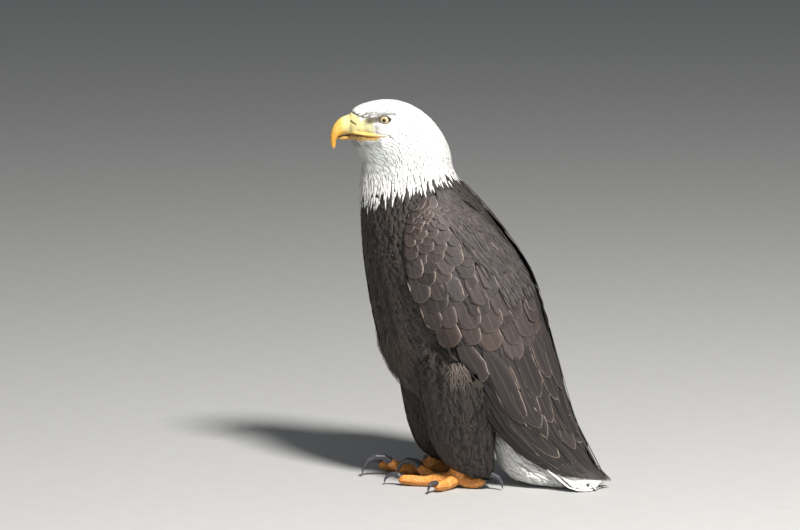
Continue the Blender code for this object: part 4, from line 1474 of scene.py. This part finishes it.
def make_claws(colours):
    material = claw_material(colours)
    for side, _ in SIDES:
        for toe in TOES:
            name = f"claw_{side}_{toe}"
            obj = remeshed(f"talon_{side}_{toe}", (name,), 0.0005, 14)
            obj.data.shade_smooth()
            obj.data.materials.append(material)
            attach(obj, "root")
            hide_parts(name)


def claw_material(colours):
    material, tree, shader = new_material("Claw horn", 0.28)
    mottle(tree, shader, colours.claw, (0.09, 0.09, 0.10), 200.0, 3.0)
    return material


# ------------------------------------------------------------------------------------------ the stage


def put(name, data, place, turned):
    """Puts a lamp or a camera in the scene and returns its object."""
    holder = bpy.data.objects.new(name, data)
    holder.location = place
    holder.rotation_euler = turned.to_euler()
    bpy.context.scene.collection.objects.link(holder)
    return holder


def make_floor(stage):
    bpy.ops.object.select_all(action="DESELECT")
    bpy.ops.mesh.primitive_plane_add(size=60)
    floor = bpy.context.active_object
    floor.name = "floor"
    material, tree, shader = new_material("Pale floor", 0.8)
    mottle(tree, shader, stage.floor_colour, (0.47, 0.47, 0.46), 30.0, 4.0)
    floor.data.materials.append(material)


def make_light(stage):
    """Two round lamps aimed at the bird, and the light all round."""
    lamps = (
        # name, place, width, watts, colour
        ("key", (2.3, 1.8, 3.9), 0.9, stage.key_power, (1.0, 0.98, 0.95)),
        ("fill", (3.6, 1.8, 0.9), 1.8, stage.fill_power, (0.95, 0.97, 1.0)),
    )
    aim = Vector((0, 0, 0.3))
    for name, place, width, watts, colour in lamps:
        lamp = bpy.data.lights.new(name, "AREA")
        lamp.shape = "DISK"
        lamp.size = width
        lamp.energy = watts
        lamp.color = colour
        put(name, lamp, place, (aim - Vector(place)).to_track_quat("-Z", "Y"))
    world = bpy.context.scene.world or bpy.data.worlds.new("World")
    bpy.context.scene.world = world
    world.use_nodes = True
    backdrop = world.node_tree.nodes["Background"]
    backdrop.inputs["Color"].default_value = rgb((0.80, 0.84, 0.90))
    backdrop.inputs["Strength"].default_value = stage.world_light
    bpy.context.scene.view_settings.view_transform = "Standard"


def make_camera(stage):
    turn, rise = stage.camera_turn, stage.camera_rise
    back = Vector((math.cos(turn) * math.cos(rise), math.sin(turn) * math.cos(rise), math.sin(rise)))
    lens = bpy.data.cameras.new("camera")
    lens.lens = 180
    lens.sensor_width = 36
    place = Vector(stage.camera_aim) + back * stage.camera_distance
    bpy.context.scene.camera = put("camera", lens, place, back.to_track_quat("Z", "Y"))


# --------------------------------------------------------------------------------- settings and panel


def length_setting(name, description, default):
    return FloatProperty(name=name, description=description, default=default, min=0.0, precision=4,
                         unit="LENGTH", subtype="DISTANCE")


def colour_setting(name, description, default):
    return FloatVectorProperty(name=name, description=description, default=default, min=0.0, max=1.0,
                               size=3, subtype="COLOR")


class EagleSizes(bpy.types.PropertyGroup):
    """Sizes of the coat"""
    coat_depth: length_setting("Coat depth", "How far the skin lies under the outline", 0.0042)
    breast_spacing: length_setting("Breast spacing", "Distance between breast feathers", 0.0060)


class EagleColours(bpy.types.PropertyGroup):
    """Colours of the plumage, horn and skin"""
    white_feathers: colour_setting("White feathers", "Head, neck and tail", (0.84, 0.83, 0.80))
    white_skin: colour_setting("White down", "Down under the white feathers", (0.70, 0.69, 0.66))
    brown_feathers: colour_setting("Brown feathers", "Wing coverts", (0.060, 0.047, 0.044))
    breast_feathers: colour_setting("Breast feathers", "Breast, belly and legs", (0.036, 0.030, 0.027))
    scapulars: colour_setting("Scapulars", "Shoulders and back", (0.082, 0.070, 0.068))
    dark_feathers: colour_setting("Flight feathers", "Primaries and secondaries", (0.026, 0.022, 0.022))
    dark_skin: colour_setting("Dark down", "Down under the brown feathers", (0.022, 0.018, 0.017))
    brown_rim: colour_setting("Body rims", "Worn tips of the body feathers", (0.15, 0.122, 0.104))
    tan_rim: colour_setting("Covert rims", "Pale edges of the coverts", (0.36, 0.285, 0.24))
    # Painted shade in the slits between the white tail feathers, laid along their edges
    slit_shade: colour_setting("Tail slit shade", "Painted shade along the edges of the tail feathers", (0.12, 0.12, 0.12))
    bill: colour_setting("Bill", "Horn of the bill", (0.94, 0.58, 0.13))
    bill_deep: colour_setting("Bill, deeper", "Horn of the hook and the mouth's edge", (0.80, 0.40, 0.045))
    bill_tip: colour_setting("Bill tip", "Worn tip of the hook", (0.42, 0.33, 0.25))
    cere: colour_setting("Cere", "Bare skin at the bill's base", (0.92, 0.80, 0.36))
    lores: colour_setting("Lores", "Bare skin before the eye", (0.60, 0.57, 0.30))
    jaw: colour_setting("Jaw", "Lower bill and the skin behind it", (0.50, 0.30, 0.09))
    mouth: colour_setting("Mouth", "Line of the mouth, and the nostrils", (0.09, 0.035, 0.012))
    # Dark skin before the eye, with the brow's shadow painted into the same colour
    brow_shade: colour_setting("Brow skin and shade", "Dark skin under the brow, with its painted shadow", (0.085, 0.066, 0.045))
    lid: colour_setting("Lid", "Pale skin of the lower lid", (0.62, 0.54, 0.34))
    eye_ring: colour_setting("Eye ring", "Dark edge of the lids and iris", (0.030, 0.017, 0.008))
    iris: colour_setting("Iris", "Iris of the eye", (0.52, 0.43, 0.24))
    iris_fleck: colour_setting("Iris flecks", "Darker flecks round the pupil", (0.34, 0.27, 0.13))
    foot: colour_setting("Foot", "Scales of the feet", (0.87, 0.37, 0.085))
    # Painted shade in the creases between the scales of the feet
    foot_crease_shade: colour_setting("Foot crease shade", "Painted shade in the creases between the scales", (0.44, 0.14, 0.028))
    claw: colour_setting("Claws", "Horn of the claws", (0.02, 0.021, 0.026))


class EagleStage(bpy.types.PropertyGroup):
    """Floor, lights and camera"""
    floor_colour: colour_setting("Floor", "Colour of the floor", (0.52, 0.52, 0.51))
    key_power: FloatProperty(name="Key light", description="Power of the key light", default=400.0,
                             min=0.0, unit="POWER")
    fill_power: FloatProperty(name="Fill light", description="Power of the fill light", default=22.0,
                              min=0.0, unit="POWER")
    world_light: FloatProperty(name="World light", description="Strength of the light all round",
                               default=0.16, min=0.0)
    camera_turn: FloatProperty(name="Camera turn", description="Where the camera stands, from +X",
                               default=math.radians(13), subtype="ANGLE")
    camera_rise: FloatProperty(name="Camera rise", description="How far the camera looks down",
                               default=math.radians(8.5), subtype="ANGLE")
    camera_distance: length_setting("Camera distance", "From the camera to the bird", 6.0)
    camera_aim: FloatVectorProperty(name="Camera aim", description="The point the camera looks at",
                                    default=(-0.029, -0.0868 + SHIFT.y, 0.3204), size=3,
                                    subtype="TRANSLATION")


class EAGLE_OT_skin(bpy.types.Operator):
    """Builds the skin that replaces the flesh of the solids, with its lids"""
    bl_idname = "eagle.skin"
    bl_label = "Skin"

    def execute(self, context):
        make_skin(context.scene.eagle_sizes, context.scene.eagle_colours)
        return {"FINISHED"}


class EAGLE_OT_head_coat(bpy.types.Operator):
    """Lays the short feathers of the face and head"""
    bl_idname = "eagle.head_coat"
    bl_label = "Head feathers"

    def execute(self, context):
        make_head_coat(context.scene.eagle_colours)
        return {"FINISHED"}


class EAGLE_OT_neck_coat(bpy.types.Operator):
    """Lays the white hackles of the neck"""
    bl_idname = "eagle.neck_coat"
    bl_label = "Neck hackles"

    def execute(self, context):
        make_neck_coat(context.scene.eagle_colours)
        return {"FINISHED"}


class EAGLE_OT_body_coat(bpy.types.Operator):
    """Lays the feathers of the breast, belly and legs"""
    bl_idname = "eagle.body_coat"
    bl_label = "Body feathers"

    def execute(self, context):
        make_body_coat(context.scene.eagle_sizes, context.scene.eagle_colours)
        return {"FINISHED"}


class EAGLE_OT_wing_coats(bpy.types.Operator):
    """Lays the coverts, flight feathers and scapulars of both wings"""
    bl_idname = "eagle.wing_coats"
    bl_label = "Wing feathers"

    def execute(self, context):
        make_wing_coats(context.scene.eagle_colours)
        return {"FINISHED"}


class EAGLE_OT_tail_coats(bpy.types.Operator):
    """Lays the tail feathers and the plumes under the tail"""
    bl_idname = "eagle.tail_coats"
    bl_label = "Tail feathers"

    def execute(self, context):
        make_tail_coats(context.scene.eagle_colours)
        return {"FINISHED"}


class EAGLE_OT_bill(bpy.types.Operator):
    """Builds the upper and lower bill with the bare skin at their base"""
    bl_idname = "eagle.bill"
    bl_label = "Bill"

    def execute(self, context):
        make_bill(context.scene.eagle_colours)
        return {"FINISHED"}


class EAGLE_OT_eyes(bpy.types.Operator):
    """Builds both eyes"""
    bl_idname = "eagle.eyes"
    bl_label = "Eyes"

    def execute(self, context):
        make_eyes(context.scene.eagle_colours)
        return {"FINISHED"}


class EAGLE_OT_feet(bpy.types.Operator):
    """Builds the scaled skin of both feet"""
    bl_idname = "eagle.feet"
    bl_label = "Feet"

    def execute(self, context):
        make_feet(context.scene.eagle_colours)
        return {"FINISHED"}


class EAGLE_OT_claws(bpy.types.Operator):
    """Builds the eight claws"""
    bl_idname = "eagle.claws"
    bl_label = "Claws"

    def execute(self, context):
        make_claws(context.scene.eagle_colours)
        return {"FINISHED"}


class EAGLE_OT_stage(bpy.types.Operator):
    """Builds the floor, the lamps and the camera"""
    bl_idname = "eagle.stage"
    bl_label = "Stage"

    def execute(self, context):
        scene = context.scene
        make_floor(scene.eagle_stage)
        make_light(scene.eagle_stage)
        make_camera(scene.eagle_stage)
        return {"FINISHED"}


PIECES = (
    EAGLE_OT_skin,
    EAGLE_OT_head_coat,
    EAGLE_OT_neck_coat,
    EAGLE_OT_body_coat,
    EAGLE_OT_wing_coats,
    EAGLE_OT_tail_coats,
    EAGLE_OT_bill,
    EAGLE_OT_eyes,
    EAGLE_OT_feet,
    EAGLE_OT_claws,
    EAGLE_OT_stage,
)


class EAGLE_PT_pieces(bpy.types.Panel):
    """Lists the pieces of the eagle"""
    bl_label = "Eagle"
    bl_idname = "EAGLE_PT_pieces"
    bl_space_type = "VIEW_3D"
    bl_region_type = "UI"
    bl_category = "Eagle"

    def draw(self, context):
        for piece in PIECES:
            self.layout.operator(piece.bl_idname)


CLASSES = (EagleSizes, EagleColours, EagleStage, *PIECES, EAGLE_PT_pieces)


def register():
    for cls in CLASSES:
        bpy.utils.register_class(cls)
    bpy.types.Scene.eagle_sizes = PointerProperty(type=EagleSizes)
    bpy.types.Scene.eagle_colours = PointerProperty(type=EagleColours)
    bpy.types.Scene.eagle_stage = PointerProperty(type=EagleStage)


def unregister():
    for name in ("eagle_sizes", "eagle_colours", "eagle_stage"):
        delattr(bpy.types.Scene, name)
    for cls in reversed(CLASSES):
        bpy.utils.unregister_class(cls)


def main():
    register()
    for piece in PIECES:
        getattr(bpy.ops.eagle, piece.bl_idname.split(".")[1])()


if __name__ == "__main__":
    main()
